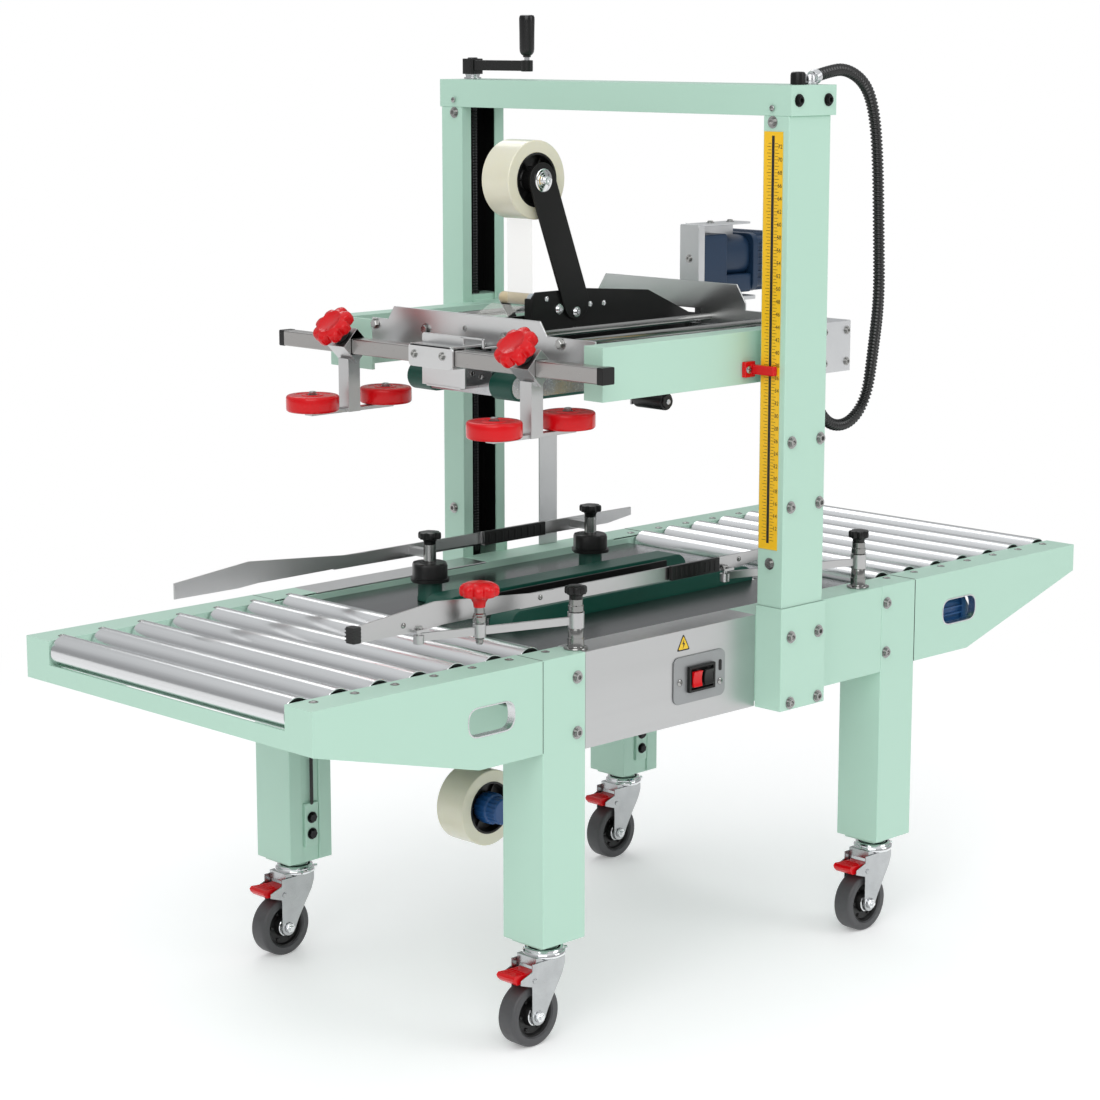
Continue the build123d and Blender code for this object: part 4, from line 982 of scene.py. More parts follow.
fixed("carriage_small_screws", pan_screw, nose_screws[1:], screw_zinc, "head")

# ---------------------------------------------------------------- tape heads
# Black side plates with their rollers, and an arm that holds the roll of clear
# tape on a plastic hub. The top and bottom heads are the same part, turned over.
cream_roller = finish("tacky_roller", (0.62, 0.5, 0.3), (0.74, 0.62, 0.4), 0.35, cloud=20, grain=800)
black_rubber = finish("black_rubber", 0.014, 0.026, 0.62, grain=1300, bump=0.3)
blue_nylon = finish("blue_hub", (0.008, 0.06, 0.2), (0.014, 0.085, 0.26), 0.34, cloud=14, grain=900)
pale_blue = finish("pale_blue_film", (0.4, 0.5, 0.6), (0.55, 0.63, 0.7), 0.2, cloud=90, grain=300)
clear_film = finish("clear_film", (0.8, 0.8, 0.74), (0.88, 0.88, 0.82), 0.08, cloud=8, grain=60, bump=0.2,
    extra={"Alpha": 0.16, "Specular IOR Level": 0.6})


def link_outline(a, b, radius, count=18):
    """A flat link with a round end at each of two points."""
    lean = math.atan2(b[1] - a[1], b[0] - a[0])
    points = []
    for centre, first in ((b, lean - math.pi / 2), (a, lean + math.pi / 2)):
        for k in range(count + 1):
            swing = first + math.pi * k / count
            points.append((centre[0] + radius * math.cos(swing), centre[1] + radius * math.sin(swing)))
    return points


def wound_tape(name, centre):
    """Clear tape seen through its many turns: cream, with fine rings round the core."""
    material = finish(name, (0.7, 0.68, 0.52), (0.78, 0.76, 0.62), 0.3, cloud=18, grain=300, bump=0.05,
        extra={"Subsurface Weight": 0.35, "Subsurface Radius": (0.02, 0.018, 0.012), "Coat Weight": 0.5,
        "Coat Roughness": 0.1})
    tree = material.node_tree
    place = add(tree, "ShaderNodeTexCoord")
    centred = add(tree, "ShaderNodeMapping", Location=(-centre[0], 0, -centre[1]))
    rings = add(tree, "ShaderNodeTexWave", wave_type="RINGS", rings_direction="Y", Scale=260,
        Distortion=1.5)
    relief = add(tree, "ShaderNodeBump", Strength=0.12, Distance=0.0002)
    wire(
        tree,
        (place, "Object", centred, "Vector"),
        (centred, "Vector", rings, "Vector"),
        (rings, "Fac", relief, "Height"),
        (relief, "Normal", tree.nodes["Principled BSDF"], "Normal"),
    )
    return material


plate_y = 0.04
screw_face = 0.0402
for label, level, up, roll, foot in (
    ("upper", 0.964, 1, (-0.161, 1.3), (-0.084, 1.101)),
    ("lower", 0.625, -1, (-0.268, 0.286), (-0.15, 0.5)),
):
    node = label + "_tape_head"
    body = "head" if up > 0 else "frame"
    axle_at = (roll[0], 0, roll[1])
    folded(label + "_tape_plate", node, black_paint, edge=0.0009,
        keep=lambda low, high: high[0] - low[0] > 0.3 and high[1] < 0)
    bm = bmesh.new()
    lip = rect(-plate_y, -0.022, level + up * 0.004, level + up * 0.148)
    plate(bm, eased(lip, 0.004), -0.1806, -0.1776, axes="yzx")
    far_side = [(-0.18, 0.002), (0.222, 0.002), (0.222, 0.098), (0.19, 0.102), (0.09, 0.108), (-0.1, 0.112),
        (-0.172, 0.112), (-0.18, 0.104)]
    plate(bm, [(x, level + up * rise) for x, rise in far_side], 0.036, 0.04, axes="xzy")
    shown(label + "_far_plate", bm, black_paint, body, "black_metal", (node,), edge=0.0009)
    bm = bmesh.new()
    plate(bm, link_outline((-0.15, level + up * 0.143), (-0.118, level + up * 0.095), 0.008), 0.0605,
        0.0625, axes="xzy")
    bar(bm, -0.125, -0.111, 0.0395, 0.0625, *sorted((level + up * 0.088, level + up * 0.09)))
    lathe(bm, rect(0, 3.5, 58, 64), (-0.15, 0, level + up * 0.143), FAR, 20)
    shown(label + "_roller_bracket", bm, sheet_steel, body, "stainless", (node,), edge=0.0004)
    bm = bmesh.new()
    arm_side = -1 if up > 0 else 1
    plate(bm, link_outline(roll, foot, 0.028), *span(arm_side, 0.045, plate_y + 0.0002), axes="xzy")
    shown(label + "_roll_arm", bm, black_paint, body, "black_metal", (node,), edge=0.001)
    spun(label + "_roll_flange", [(6.2, 31.5), (52, 31.5), (53.5, 32.5), (53.5, 34.5), (52, 35.5),
        (6.2, 35.5), (6.2, 31.5)], axle_at, FAR, 56, black_paint, body, "black_metal", (node,))
    bm = bmesh.new()
    lathe(bm, [(0, 45), (18.4, 45), (18.4, 47), (17.6, 47.4), (13, 47.4), (13, 49.2), (9.6, 49.6),
        (9.6, 51), (6.4, 51.4), (6.4, 56), (5.4, 56.8), (3, 56.8), (2.8, 54), (0, 54)], axle_at,
        (0, arm_side, 0), 30)
    lathe(bm, [(0, -41), (4.8, -41), (5.8, -40), (5.8, 40), (4.8, 41), (0, 41)], axle_at, FAR, 24)
    shown(label + "_roll_axle", bm, chrome, body, "chrome", (node,))
    for part, material, slot, rollers in (
        ("wipe_rollers", black_rubber, "black_plastic", ((-0.158, 0.034, 0.017), (0.178, 0.034, 0.017))),
        ("tack_roller", cream_roller, "tape", ((-0.15, 0.143, 0.0095),)),
        ("steel_rollers", rod_steel, "chrome",
            ((-0.06, 0.06, 0.009), (0.06, 0.06, 0.009), (-0.095, 0.14, 0.007))),
    ):
        bm = bmesh.new()
        for x, rise, radius in rollers:
            far = 0.06 if part == "tack_roller" else 0.0355
            turned(bm, [(0, -0.0355), (radius - 0.002, -0.0355), (radius, -0.034), (radius, far - 0.0015),
                (radius - 0.002, far), (0, far)], (x, 0, level + up * rise), FAR, 36)
        shown(label + "_" + part, bm, material, body, slot, (node,))
    bm = bmesh.new()
    for x in (-0.11, 0.2):
        for near in (-1, 1):
            turned(bm, rect(0, 0.006, plate_y, 0.0668 if up > 0 else 0.0488), (x, 0, level + up * 0.046),
                (0, near, 0), 20)
    shown(label + "_spacers", bm, rod_steel, body, "chrome", (node,))
    small = [(-0.148, 0.146), (-0.049, 0.1315), (-0.017, 0.131), (0.12, 0.04), (-0.16, 0.034),
        (0.178, 0.034)]
    if up > 0:
        big_places = [((-0.12, -screw_face, 1.092), NEAR), ((-0.085, -0.0452, 1.0855), NEAR)]
    else:
        big_places = [((-0.15, 0.0452, 0.5), FAR)]
    fixed(label + "_plate_screws", socket_screw, big_places, chrome, body, size=0.85, turn=1.0)
    small_places = [((x, -screw_face, level + up * rise), NEAR) for x, rise in small]
    small_places += [((x, screw_face, level + up * rise), FAR) for x, rise in small if rise < 0.1]
    fixed(label + "_small_screws", pan_screw, small_places, chrome, body, turn=3.0)

    node = label + "_tape_roll"
    body = label + "_roll"
    spun(label + "_wound_tape", [(43.6, -31), (61.8, -31), (63, -29.8), (63, 29.8), (61.8, 31), (43.6, 31),
        (43.6, -31)], axle_at, FAR, 96, wound_tape(label + "_tape", roll), body, "tape", (node,))
    bm = bmesh.new()
    lathe(bm, [(6.2, -37.5), (18.5, -37.5), (20, -36), (20, -16), (21.5, -14.5), (38.5, -14.5),
        (40.2, -31.2), (43.4, -31.8), (43.4, 30), (6.2, 30), (6.2, -37.5)], axle_at, FAR, 72)
    for k in range(6):
        swing = k * math.pi / 3
        u, w = math.cos(swing), math.sin(swing)
        rib = rect(0.019, 0.0392, -0.0012, 0.0012)
        spoke = [(roll[0] + u * a - w * b, roll[1] + w * a + u * b) for a, b in rib]
        plate(bm, spoke, -0.0195, -0.0145, axes="xzy")
    shown(label + "_hub", bm, hub_nylon, body, "black_plastic", (node,))
spun("lower_hub_knob", [(0, -64), (20, -64), (22.5, -62), (22.8, -44), (25.5, -42.5), (26.2, -40),
    (26.2, -24), (24.5, -17), (0, -17)], (-0.268, 0, 0.286), FAR, 72, blue_nylon, "lower_roll",
    "black_plastic", ("lower_tape_roll",),
    wave=lambda r, a: r - 0.0014 * (r > 0.0224) * (0.5 - 0.5 * math.cos(18 * a)))
spun("tack_roller_film", [(9, -21), (9.9, -21), (9.9, -6), (9, -6), (9, -21)], (-0.15, 0, 1.107), FAR, 30,
    pale_blue, "head", "tape")
web = bmesh.new()
drop_steps = 10
for k in range(drop_steps):
    z0 = 1.2365 - 0.137 * k / drop_steps
    z1 = 1.2365 - 0.137 * (k + 1) / drop_steps
    x0 = -0.165 + 0.0012 * k / drop_steps
    x1 = -0.165 + 0.0012 * (k + 1) / drop_steps
    plate(web, [(x0, z0), (x1, z1), (x1 + 0.0002, z1), (x0 + 0.0002, z0)], -0.024, 0.034, axes="xzy")
shown("tape_web", web, clear_film, "head", "tape")
cut("clear_guard", [(-0.184, 1.099), (-0.183, 1.1), (-0.246, 1.072), (-0.247, 1.0708)], -0.021, 0.052,
    "xzy", clear_film, "head", "tape", edge=0.0003)

# ---------------------------------------------------------------- top drive
# A navy geared motor with cooling ribs and a round end cover, on a folded grey
# bracket, and the terminal box where the hose ends.
navy = finish("navy_casting", (0.009, 0.03, 0.07), (0.014, 0.042, 0.095), 0.33, cloud=16, grain=600,
    bump=0.25, depth=0.0003, extra={"Specular IOR Level": 0.35})
dark_cast = finish("dark_casting", (0.05, 0.05, 0.055), (0.09, 0.09, 0.095), 0.45, cloud=22, grain=500,
    bump=0.4)
bracket_grey = finish("bracket_steel", (0.6, 0.61, 0.62), (0.7, 0.71, 0.72), 0.38, metal=0.9, cloud=10,
    grain=500, swing=0.08)


def ribbed_motor(label, low, high, body, node, paint):
    """A motor housing along X between two corners, with ribs on its top, bottom and sides."""
    rib, gap = 0.003, 0.0115
    y_mid, z_mid = (low[1] + high[1]) / 2, (low[2] + high[2]) / 2
    wide, tall = (high[1] - low[1]) / 2 - 0.005, (high[2] - low[2]) / 2 - 0.005
    bm = bmesh.new()
    core = rect(-wide, wide, -tall, tall)
    core = [(y + y_mid, z + z_mid) for y, z in eased(core, 0.016)]
    plate(bm, core, low[0] + 0.001, high[0] - 0.001, axes="yzx")
    collar = rect(-wide - 0.005, wide + 0.005, -tall - 0.005, tall + 0.005)
    collar = [(y + y_mid, z + z_mid) for y, z in eased(collar, 0.018)]
    plate(bm, collar, low[0], low[0] + 0.014, axes="yzx")
    plate(bm, collar, high[0] - 0.012, high[0], axes="yzx")
    shown(label + "_housing", bm, paint, body, "motor_blue", (node,), edge=0.0016)
    for part, width, lift in (("top", wide, tall), ("side", tall, wide)):
        count = int((width * 2 - 0.022) / gap) + 1
        start = -(count - 1) * gap / 2
        for near in (-1, 1):
            bm = bmesh.new()
            across, out = (-rib / 2, rib / 2), span(near, lift - 0.001, lift + 0.0045)
            if part == "top":
                bar(bm, low[0] + 0.013, high[0] - 0.011, *across, *out)
                first, step = (0, y_mid + start, z_mid), (0, gap, 0)
            else:
                bar(bm, low[0] + 0.013, high[0] - 0.011, *out, *across)
                first, step = (0, y_mid, z_mid + start), (0, 0, gap)
            fin = template("cooling_rib", bm)
            side = "low" if near < 0 else "high"
            row(f"{label}_ribs_{part}_{side}", fin, count, first, step, paint, body, (node,))


ribbed_motor("top_motor", (0.33, -0.06, 1.092), (0.4, 0.07, 1.192), "head", "upper_motor", navy)
bm = bmesh.new()
block_end = rect(-0.06, -0.0175, 1.086, 1.1945)
plate(bm, eased(block_end, 0.006), 0.2045, 0.264, axes="yzx")
plate(bm, eased(rect(-0.052, 0.032, 1.12, 1.189), 0.028), 0.263, 0.331, axes="yzx")
plate(bm, eased(rect(-0.056, 0.03, 1.092, 1.124), 0.006), 0.263, 0.331, axes="yzx")
shown("top_motor_block", bm, navy, "head", "motor_blue", ("upper_motor",), edge=0.003, segments=3)
spun("top_motor_cover", [(0, 0), (40, 0), (40, 6), (34.5, 8), (34, 42), (32, 48), (27, 51.5), (0, 52)],
    (0.4, 0.005, 1.142), REAR, 48, navy, "head", "motor_blue", ("upper_motor",))
bm = bmesh.new()
plate(bm, eased(rect(-0.02, 0.03, 1.04, 1.094), 0.006), 0.28, 0.34, axes="yzx")
lathe(bm, [(0, 0), (19, 0), (19, 4), (16, 6), (0, 6)], (0.31, -0.02, 1.066), NEAR, 32)
shown("top_gearbox", bm, dark_cast, "head", "dark_steel", ("upper_motor",), edge=0.0012)
bm = bmesh.new()
face = rect(-0.0625, -0.019, 1.08, 1.213)
plate(bm, eased(face, 0.004), 0.188, 0.204, axes="yzx")
bar(bm, 0.2035, 0.32, -0.062, -0.019, 1.2095, 1.213)
bar(bm, 0.2035, 0.32, -0.022, -0.019, 1.188, 1.213)
bar(bm, 0.194, 0.34, -0.058, 0.03, 1.079, 1.086)
shown("motor_bracket", bm, bracket_grey, "head", "stainless", ("head_electrics",), edge=0.002, segments=3)
folded("terminal_box", "head_electrics", bracket_grey, edge=0.0018, segments=3,
    keep=lambda low, high: high[1] < 0)
spun("hose_gland", [(11.2, 962), (15, 962), (16.5, 965), (16.5, 983), (15.5, 984.8), (11.2, 984.8),
    (11.2, 962)], (0.214, -0.3, 0), UP, 32, nylon, "head", "black_plastic", ("head_electrics",),
    wave=lambda r, a: r - 0.0006 * (r > 0.016) * (0.5 - 0.5 * math.cos(16 * a)))
places = [((0.1879, -0.041, 1.156), FRONT), ((0.24, -0.041, 1.2131), UP), ((0.29, -0.041, 1.2131), UP)]
places += [((x, -0.3302, z), NEAR) for z in (1.052, 1.001) for x in (0.2, 0.256)]
fixed("bracket_screws", socket_screw, places, screw_zinc, "head", size=0.7, turn=1.0)

# ---------------------------------------------------------------- height pointer
# A folded red tab screwed to the near arm. Its tip reads the rule on the mast.
folded("red_pointer", "height_pointer", red_nylon, edge=0.0014, segments=3)
fixed("pointer_screw", pan_screw, [((0.006, -0.3382, 1.0085), NEAR)], screw_zinc, "head", size=1.3)

# ---------------------------------------------------------------- front bar and side presses
# A square stainless bar under a folded saddle carries two sliding clamps. Each is
# locked by a red lobed knob and holds two flat red wheels against the carton.
tube_steel = finish("square_tube", (0.36, 0.35, 0.34), (0.46, 0.45, 0.44), 0.3, metal=1.0, cloud=8,
    grain=420, stretch=(1, 0.12, 2), swing=0.07, bump=0.05)
folded("cross_bar", "front_bar", tube_steel, edge=0.002, segments=3,
    keep=lambda low, high: high[1] - low[1] > 0.5)
bm = bmesh.new()
plate(bm, eased(rect(-0.054, 0.049, 1.014, 1.05), 0.0085), -0.367, -0.3632, axes="yzx")
bar(bm, -0.367, -0.2905, -0.05, 0.045, 1.0462, 1.05)
bar(bm, -0.3372, -0.334, -0.05, 0.05, 0.982, 1.047)
bar(bm, -0.3372, -0.299, -0.04, 0.04, 0.98, 0.984)
plate(bm, eased(rect(-0.3665, -0.334, 1.015, 1.018), 0.001), -0.054, -0.044, axes="xzy")
shown("bar_saddle", bm, sheet_steel, "head", "stainless", ("front_bar",), edge=0.0013, segments=3)
bm = bmesh.new()
plate(bm, eased(rect(-0.046, 0.051, 1.049, 1.064), 0.0045), -0.336, -0.3325, axes="yzx")
plate(bm, eased(rect(-0.092, -0.04, 1.061, 1.064), 0.0012), -0.336, -0.3325, axes="yzx")
plate(bm, eased(rect(-0.092, -0.0875, 1.0478, 1.064), 0.0015), -0.336, -0.3325, axes="yzx")
bar(bm, -0.336, -0.2905, -0.092, -0.0875, 1.0478, 1.0508)
shown("bar_hoop", bm, sheet_steel, "head", "stainless", ("front_bar",), edge=0.001)
bar_x, bar_z = -0.35, 1.032
bm = bmesh.new()
for near in (-1, 1):
    y0, y1 = span(near, 0.364, 0.3764)
    plate(bm, eased(rect(bar_x - 0.0131, bar_x + 0.0131, bar_z - 0.0131, bar_z + 0.0131), 0.0025), y0, y1,
        axes="xzy")
shown("bar_end_caps", bm, cap_nylon, "head", "black_plastic", edge=0.001)
fixed("saddle_screws", socket_screw, [((-0.3671, 0.035, 1.0335), FRONT), ((-0.3671, -0.03, 1.0345), FRONT)],
    screw_zinc, "head", size=0.7, turn=1.0)


def lobes(count, depth, rim):
    """A grip's lobes: the radius dips between them, most at the rim."""
    return lambda r, a: r - depth * min(1, r / rim) ** 4 * (0.5 - 0.5 * math.cos(count * a)) ** 2.2


press_z = 0.9305
for label, near in (("near", -1), ("far", 1)):
    y = near * 0.213
    body = "press_" + label
    where = ("side_press_" + label,)
    folded("press_frame_" + label, "side_press_" + label, stainless, edge=0.0014, segments=3)
    bm = bmesh.new()
    axis = (-1, 0, 1)
    at = (bar_x, y, bar_z)
    lathe(bm, [(0, 36), (20, 36), (31, 36.4), (34.8, 38.2), (36, 41.5), (36, 49), (35, 52.8), (32.2, 55.2),
        (28, 56.4), (24, 57), (22.8, 58.2), (21.5, 58.2), (20, 56.8), (0, 56.4)], at, axis, 144,
        wave=lobes(8, 0.0075, 0.036))
    shown("press_grip_" + label, bm, red_nylon, "knob_" + label, "red_plastic", ("press_knob_" + label,),
        crease=50)
    spun("press_boss_" + label, [(0, 21), (15, 21), (16.5, 23), (16.5, 28), (18.5, 30), (18.5, 35.5),
        (17, 36.2), (0, 36.2)], at, axis, 36, cap_nylon, "knob_" + label, "black_plastic",
        ("press_knob_" + label,))
    pins = []
    for end, side in (("front", -1), ("rear", 1)):
        x = bar_x + side * 0.078
        bm = bmesh.new()
        lathe(bm, [(5.3, 0), (38, 0), (40.5, 0.6), (42.3, 2.2), (43, 4.5), (43, 22.5), (42.3, 24.8),
            (40.5, 26.4), (38, 27), (30, 27), (29, 26.2), (19, 26.2), (17.5, 27.5), (12, 27.5), (11, 26.2),
            (5.3, 26.2), (5.3, 0)], (x, y, press_z), UP, 72)
        name = f"{label}_{end}"
        shown("press_wheel_" + name, bm, red_nylon, "disc_" + name, "red_plastic", ("press_disc_" + name,))
        pins.append(((x, y, press_z + 0.0268), UP))
    fixed("press_pins_" + label, hex_screw, pins, screw_zinc, body, size=0.85, turn=1.0)

# ---------------------------------------------------------------- near carton guide
# A stainless rail on two swinging arms. The arms turn on turned posts with black
# hand nuts, and a red knob on the front arm clamps it.
post_y = -0.319
bm = bmesh.new()
nuts = bmesh.new()
screws = []
for x in (-0.36, 0.312):
    at = (x, post_y, 0)
    lathe(bm, [(0, 613), (18.5, 613), (19, 614.5), (18.5, 616), (13.5, 617), (12.8, 619), (12.8, 630),
        (11.8, 631), (11.8, 644), (11, 645.5), (0, 645.5)], at, UP, 40)
    lathe(bm, [(0, 670.5), (11, 670.5), (12, 672), (12, 680), (10.8, 681.2), (10.8, 690), (0, 690)], at, UP,
        40)
    lathe(nuts, [(0, 688), (10, 688), (10.4, 695), (13, 697.8), (16.6, 698.8), (17.4, 701), (17.4, 707),
        (16.4, 709.5), (12, 710.8), (0, 711)], at, UP, 96, wave=lobes(7, 0.0034, 0.0174))
    round_foot = ((1, 0), (-0.5, 0.87), (-0.5, -0.87))
    screws += [((x + 0.015 * u, post_y + 0.015 * w, 0.616), UP) for u, w in round_foot]
shown("guide_post_pins", bm, rod_steel, "frame", "chrome", ("guide_posts",))
shown("guide_post_nuts", nuts, cap_nylon, "frame", "black_plastic", ("guide_posts",), crease=50)
fixed("post_foot_screws", pan_screw, screws, screw_zinc, "frame", size=0.5)
satin_steel = finish("satin_steel", 0.5, 0.58, 0.3, metal=1.0, cloud=9, grain=420, stretch=(0.4, 1, 1),
    swing=0.04, bump=0.02)
for label in ("front", "rear"):
    folded("guide_link_" + label, "guide_arm_" + label, satin_steel, edge=0.0009)
folded("near_rail", "guide_near", satin_steel, edge=0.0006,
    keep=lambda low, high: high[0] - low[0] > 0.5)
near_y = -0.242


def rail_rubber(label, y, x0, x1, body, node):
    """The moulded ribbed grip on a rail's middle."""
    bm = bmesh.new()
    plate(bm, eased(rect(x0, x1, y - 0.0055, y + 0.0008), 0.0015), 0.6668, 0.6902)
    for k in range(9):
        x = x0 + 0.012 + k * (x1 - x0 - 0.024) / 8
        bar(bm, x - 0.0018, x + 0.0018, y - 0.0065, y - 0.005, 0.67, 0.687)
    shown(label + "_rail_grip", bm, cap_nylon, body, "black_plastic", (node,), edge=0.0008)


rail_rubber("near", near_y, -0.071, 0.044, "near_guide", "guide_near")
bm = bmesh.new()
plate(bm, eased(rect(-0.741, -0.725, near_y - 0.006, near_y + 0.012), 0.003), 0.667, 0.691)
for k in range(4):
    z = 0.67 + k * 0.0055
    bar(bm, -0.7416, -0.726, near_y - 0.0066, near_y + 0.0126, z, z + 0.0022)
shown("near_nose_cap", bm, black_rubber, "near_guide", "black_plastic", ("guide_near",), edge=0.0006)
rail_screws = [((x, near_y, 0.6702), UP) for x in (-0.61, 0.062)]
fixed("rail_pivot_screws", hex_screw, rail_screws, screw_zinc, "near_guide", size=0.7)
face_screws = [((-0.64, near_y - 0.0002, 0.679), NEAR), ((-0.36, near_y - 0.0002, 0.681), NEAR),
    ((0.1, near_y + 0.0028, 0.679), NEAR)]
fixed("rail_face_screws", pan_screw, face_screws, screw_zinc, "near_guide", size=0.9)

knob_at = (-0.515, -0.27126, 0)
spun("clamp_grip", [(0, 693), (8.6, 693), (9.8, 700), (15, 708), (24, 709.2), (28.5, 710.8), (30, 714.5),
    (30, 720.5), (28.5, 725), (24, 728.5), (16, 730.8), (8, 731.8), (0, 732)], knob_at, UP, 144, red_nylon,
    "clamp_knob", "red_plastic", ("guide_knob",), crease=50, wave=lobes(8, 0.0058, 0.03))
spun("clamp_stem", [(0, 636), (4, 636.5), (5.8, 639), (5.8, 644), (7, 645), (7, 645.5), (5.9, 646),
    (5.9, 670), (10, 670.5), (10.5, 672), (10.5, 679), (9.2, 680.5), (9.2, 683), (7.5, 684.5), (7.5, 693.5),
    (0, 693.5)], knob_at, UP, 36, rod_steel, "clamp_knob", "chrome", ("guide_knob",))

# ---------------------------------------------------------------- far carton guide
# The same rail on two black blocks that slide on green bases across the bed, with
# chromed sleeves and black star nuts.
far_y = 0.196
post_far_y = far_y - 0.042
far_rail = folded("far_rail", "guide_far", satin_steel, edge=0.0006,
    keep=lambda low, high: high[0] - low[0] > 0.5)
bm = bmesh.new()
bm.from_mesh(far_rail.data)
everything = bm.verts[:] + bm.edges[:] + bm.faces[:]
bmesh.ops.bisect_plane(bm, geom=everything, plane_co=(0, 0, 0.6656), plane_no=UP, clear_inner=True)
bmesh.ops.holes_fill(bm, edges=[e for e in bm.edges if e.is_boundary])
bmesh.ops.recalc_face_normals(bm, faces=bm.faces)
bm.to_mesh(far_rail.data)
blocks, bases, sleeves, stars = bmesh.new(), bmesh.new(), bmesh.new(), bmesh.new()
for x in (-0.23, 0.15):
    at = (x, post_far_y, 0)
    lathe(blocks, [(0, 633.5), (33.5, 633.5), (33.5, 638.5), (30.5, 639.5), (30.5, 660), (29, 663.5),
        (24, 665), (0, 665)], at, UP, 72, wave=lambda r, a: r * (1 + 0.055 * math.cos(4 * a - 0.7)))
    lathe(bases, [(0, 600.5), (21.4, 600.5), (21.4, 606), (20.4, 608), (20.4, 633.6), (0, 633.6)], at, UP,
        40)
    lathe(sleeves, [(0, 660), (13.5, 660), (13.5, 664), (10.6, 665), (10.6, 694.5), (9, 695.8),
        (7.5, 695.8), (7.5, 699.5), (0, 699.5)], at, UP, 36)
    lathe(stars, [(0, 693), (10, 693), (10.4, 699.5), (13, 703.5), (18.8, 704.5), (19.6, 706.5),
        (19.6, 712.5), (18.5, 715), (13, 716.2), (0, 716.5)], at, UP, 84, wave=lobes(6, 0.005, 0.0196))
shown("slide_blocks", blocks, cap_nylon, "far_guide", "black_plastic", ("guide_far",), crease=50)
shown("slide_bases", bases, belt_green, "far_guide", "belt_green", ("guide_far",), edge=0.0005)
shown("slide_sleeves", sleeves, rod_steel, "far_guide", "chrome", ("guide_far",))
shown("slide_star_nuts", stars, cap_nylon, "far_guide", "black_plastic", ("guide_far",), crease=50)
rail_rubber("far", far_y, -0.071, 0.076, "far_guide", "guide_far")

# ---------------------------------------------------------------- switch
# A grey plate with a moulded black housing and two rocker buttons, red to stop and
# black to start, a lock slot, and a printed yellow warning triangle above it.
switch_x, switch_z = -0.112, 0.533
plate_face = -0.348
plate_grey = finish("plate_grey", (0.3, 0.31, 0.315), (0.36, 0.37, 0.375), 0.4, metal=0.6, cloud=14,
    grain=700)
folded("switch_back_plate", "switch_plate", plate_grey, edge=0.0012,
    keep=lambda low, high: high[0] - low[0] > 0.1)
folded("switch_housing", "switch_plate", cap_nylon, edge=0.0012,
    keep=lambda low, high: high[0] - low[0] < 0.1)
for label, side, material, slot in (("stop", -1, red_nylon, "red_plastic"),
        ("start", 1, cap_nylon, "black_plastic")):
    x = switch_x + side * 0.013
    curve = [(-0.0126, -0.352), (-0.0126, -0.3575), (-0.008, -0.3562), (-0.003, -0.3555), (0.003, -0.3558),
        (0.008, -0.3568), (0.0126, -0.3586), (0.0126, -0.352)]
    cut(label + "_rocker", [(z + switch_z, y) for z, y in curve], x - 0.01, x + 0.01, "zyx", material,
        label, slot, (label + "_button",), edge=0.0012)
fixed("switch_screws", pan_screw, [((switch_x - 0.047, plate_face - 0.0001, switch_z - 0.002), NEAR),
    ((switch_x + 0.047, plate_face - 0.0001, switch_z - 0.014), NEAR)], screw_zinc, "frame",
    size=1.2, turn=2.0)
sign_yellow = finish("sign_yellow", (0.78, 0.5, 0.01), (0.84, 0.56, 0.02), 0.4, cloud=12, grain=700)
sign_at = (-0.148, 0.5915)
bm = bmesh.new()
black_edge = [(-0.015, -0.011), (0.015, -0.011), (0.0, 0.016)]
plate(bm, [(x + sign_at[0], z + sign_at[1]) for x, z in eased(black_edge, 0.0022)], -0.3453, -0.3449,
    axes="xzy")
shown("sign_border", bm, print_black, "frame", "black_metal")
bm = bmesh.new()
yellow = [(x * 0.78, z * 0.78 - 0.0002) for x, z in black_edge]
plate(bm, [(x + sign_at[0], z + sign_at[1]) for x, z in eased(yellow, 0.0014)], -0.3455, -0.3452,
    axes="xzy")
shown("sign_field", bm, sign_yellow, "frame", "scale_yellow")
bm = bmesh.new()
flash = [(0.0012, 0.0085), (-0.003, 0.0005), (-0.0002, 0.0005), (-0.0016, -0.0075), (0.0032, 0.0016),
    (0.0004, 0.0016)]
plate(bm, [(x + sign_at[0], z + sign_at[1] - 0.0008) for x, z in flash], -0.3457, -0.3454, axes="xzy")
shown("sign_flash", bm, print_black, "frame", "black_metal")
lock = eased(rect(-0.003, 0.003, -0.009, 0.009), 0.0028)
cut("lock_slot", [(x + switch_x + 0.047, z + switch_z + 0.012) for x, z in lock], plate_face - 0.0012,
    plate_face + 0.0005, "xzy", cap_nylon, "frame", "black_plastic", edge=0.0004)

# ---------------------------------------------------------------- bottom belts and drive
# The same green belts in the deck, on zinc plated beds, and the lower geared motor
# beside the outfeed table.
cover_green = finish("green_cover", (0.002, 0.07, 0.046), (0.004, 0.092, 0.064), 0.36, cloud=12, grain=600)
for label, near in (("near", -1), ("far", 1)):
    belt("bottom_belt_" + label, 0.265, 0.021, 0.6, near * 0.078, "lower_belts", "frame")
    bm = bmesh.new()
    for y in (near * 0.078 - 0.0258, near * 0.078 + 0.0252):
        plate(bm, stadium(0.265, 0.0235, 0.6), y, y + 0.0006, axes="xzy")
    shown("belt_side_" + label, bm, cover_green, "frame", "belt_green", ("lower_belt_beds",))
folded("bottom_belt_beds", "lower_belt_beds", fork_zinc, edge=0.0008)
blue_casting = finish("blue_casting", (0.012, 0.075, 0.22), (0.018, 0.1, 0.28), 0.34, cloud=16, grain=600,
    bump=0.25, depth=0.0003, extra={"Specular IOR Level": 0.4})
ribbed_motor("bottom_motor", (0.5, -0.322, 0.486), (0.612, -0.242, 0.56), "frame", "lower_motor",
    blue_casting)
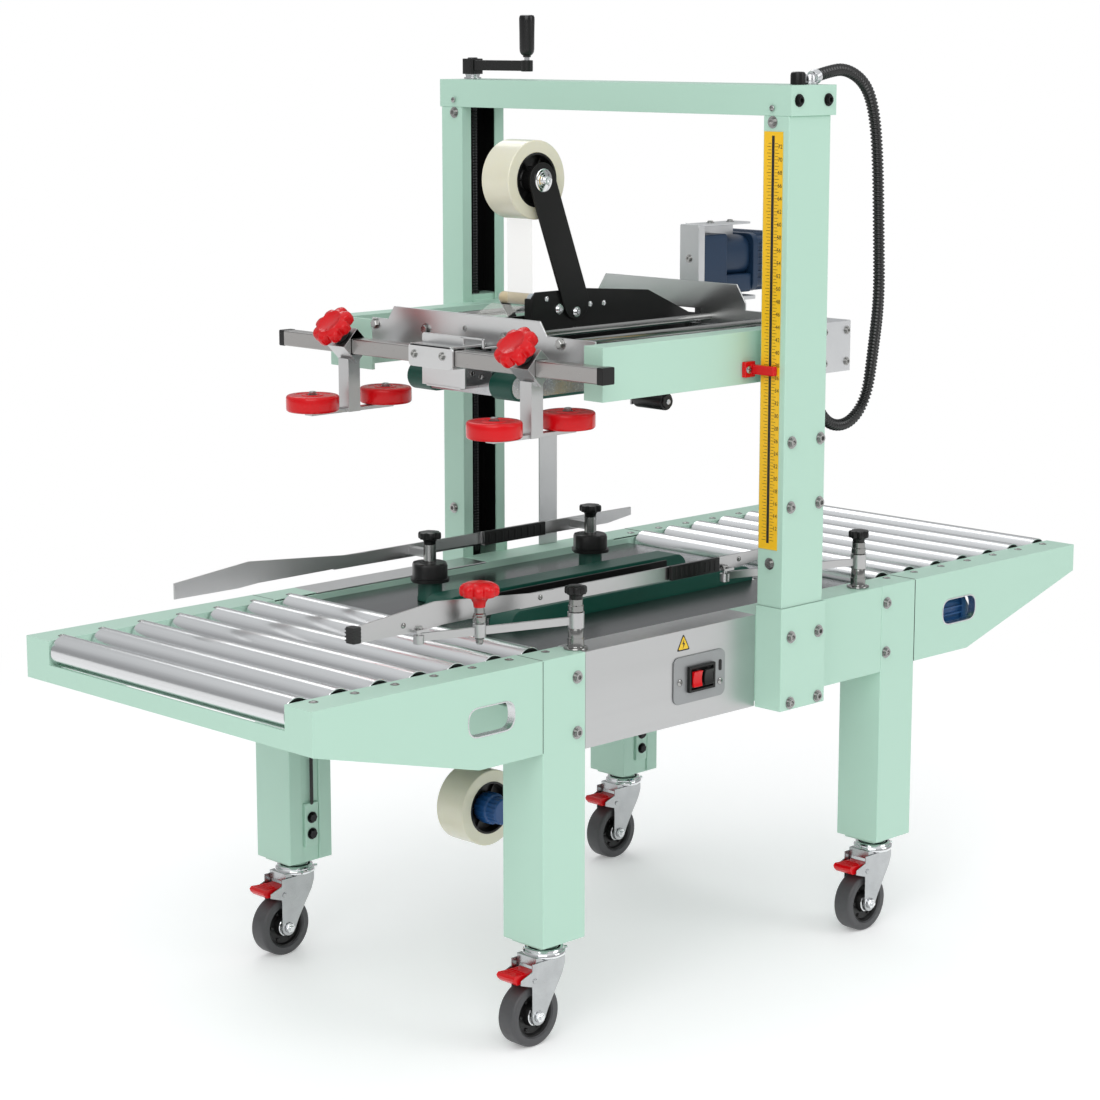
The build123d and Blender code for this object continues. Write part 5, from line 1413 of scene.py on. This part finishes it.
spun("bottom_motor_cover", [(0, 0), (33, 0), (33, 10), (31, 20), (26, 27), (0, 28)], (0.612, -0.282, 0.523),
    REAR, 44, blue_casting, "frame", "motor_blue", ("lower_motor",))
cut("bottom_gearbox", eased(rect(-0.306, -0.258, 0.5, 0.54), 0.005), 0.463, 0.502, "yzx", dark_cast,
    "frame", "dark_steel", ("lower_motor",), edge=0.0014)

# ---------------------------------------------------------------- frame fasteners
# Zinc plated socket screws with washers through the legs, the mast boxes, the channels
# and the cap, dark hexagon screws by the leg slots, and thin black strips of painted shade in the joints of
# the tables.
side_face, box_face, channel_face, cap_face = 0.345, 0.4, 0.397, 0.401
places = []
for near in (-1, 1):
    spots = [(-0.383, side_face, 0.577), (-0.383, side_face, 0.491), (0.358, side_face, 0.583),
        (0.358, side_face, 0.498)]
    for x in (0.045, 0.113):
        spots += [(x, box_face, 0.581), (x, box_face, 0.473)]
    for x in (0.043, 0.113):
        spots += [(x, channel_face, 0.895), (x, channel_face, 0.791)]
    places += [((x, near * (y + 0.0001), z), (0, near, 0)) for x, y, z in spots]
fixed("side_screws", socket_screw, places, screw_zinc, "frame", ("frame_bolts",), turn=1.0)
places = [((x, near * (cap_face + 0.0001), 1.428), (0, near, 0))
    for x in (0.043, 0.113) for near in (-1, 1)]
fixed("cap_screws", socket_screw, places, black_paint, "frame", ("frame_bolts",), turn=1.0)
bm = bmesh.new()
for x in (-0.41, 0.39):
    for near in (-1, 1):
        slot = rect(-0.0035, 0.0035, 0.262, 0.42)
        y0, y1 = span(near, 0.2542, 0.2536)
        plate(bm, [(x + u, w) for u, w in eased(slot, 0.0034)], y0, y1, axes="xzy")
shown("leg_slots", bm, print_black, "frame", "black_metal")
# Thin black strips that paint the shade in the joints where each table meets the legs and the bed.
bm = bmesh.new()
for x in (-0.455, 0.435):
    for near in (-1, 1):
        y0, y1 = span(near, 0.3446, 0.3453)
        bar(bm, x - 0.0005, x + 0.0005, y0, y1, 0.471, 0.612)
        y0, y1 = span(near, 0.29, 0.3436)
        bar(bm, x - 0.0005, x + 0.0005, y0, y1, 0.6126, 0.6133)
shown("table_seams", bm, print_black, "frame", "black_metal")
places = []
for x in (-0.41, 0.39):
    for near in (-1, 1):
        places += [((x, near * 0.254, z), (0, -near, 0)) for z in (0.212, 0.24)]
fixed("leg_screws", hex_screw, places, thread_steel, "frame", ("frame_bolts",), turn=1.0)
front_screws = [((0.0249, side * y, z), FRONT)
    for y, z in ((0.364, 1.3945), (0.371, 0.699)) for side in (-1, 1)]
fixed("channel_face_screws", socket_screw, front_screws, screw_zinc, "frame", size=0.95, turn=2.0)
rivets = [((0.0219, side * 0.364, 1.416), FRONT) for side in (-1, 1)]
fixed("cap_face_rivets", pan_screw, rivets, screw_zinc, "frame", turn=2.0)
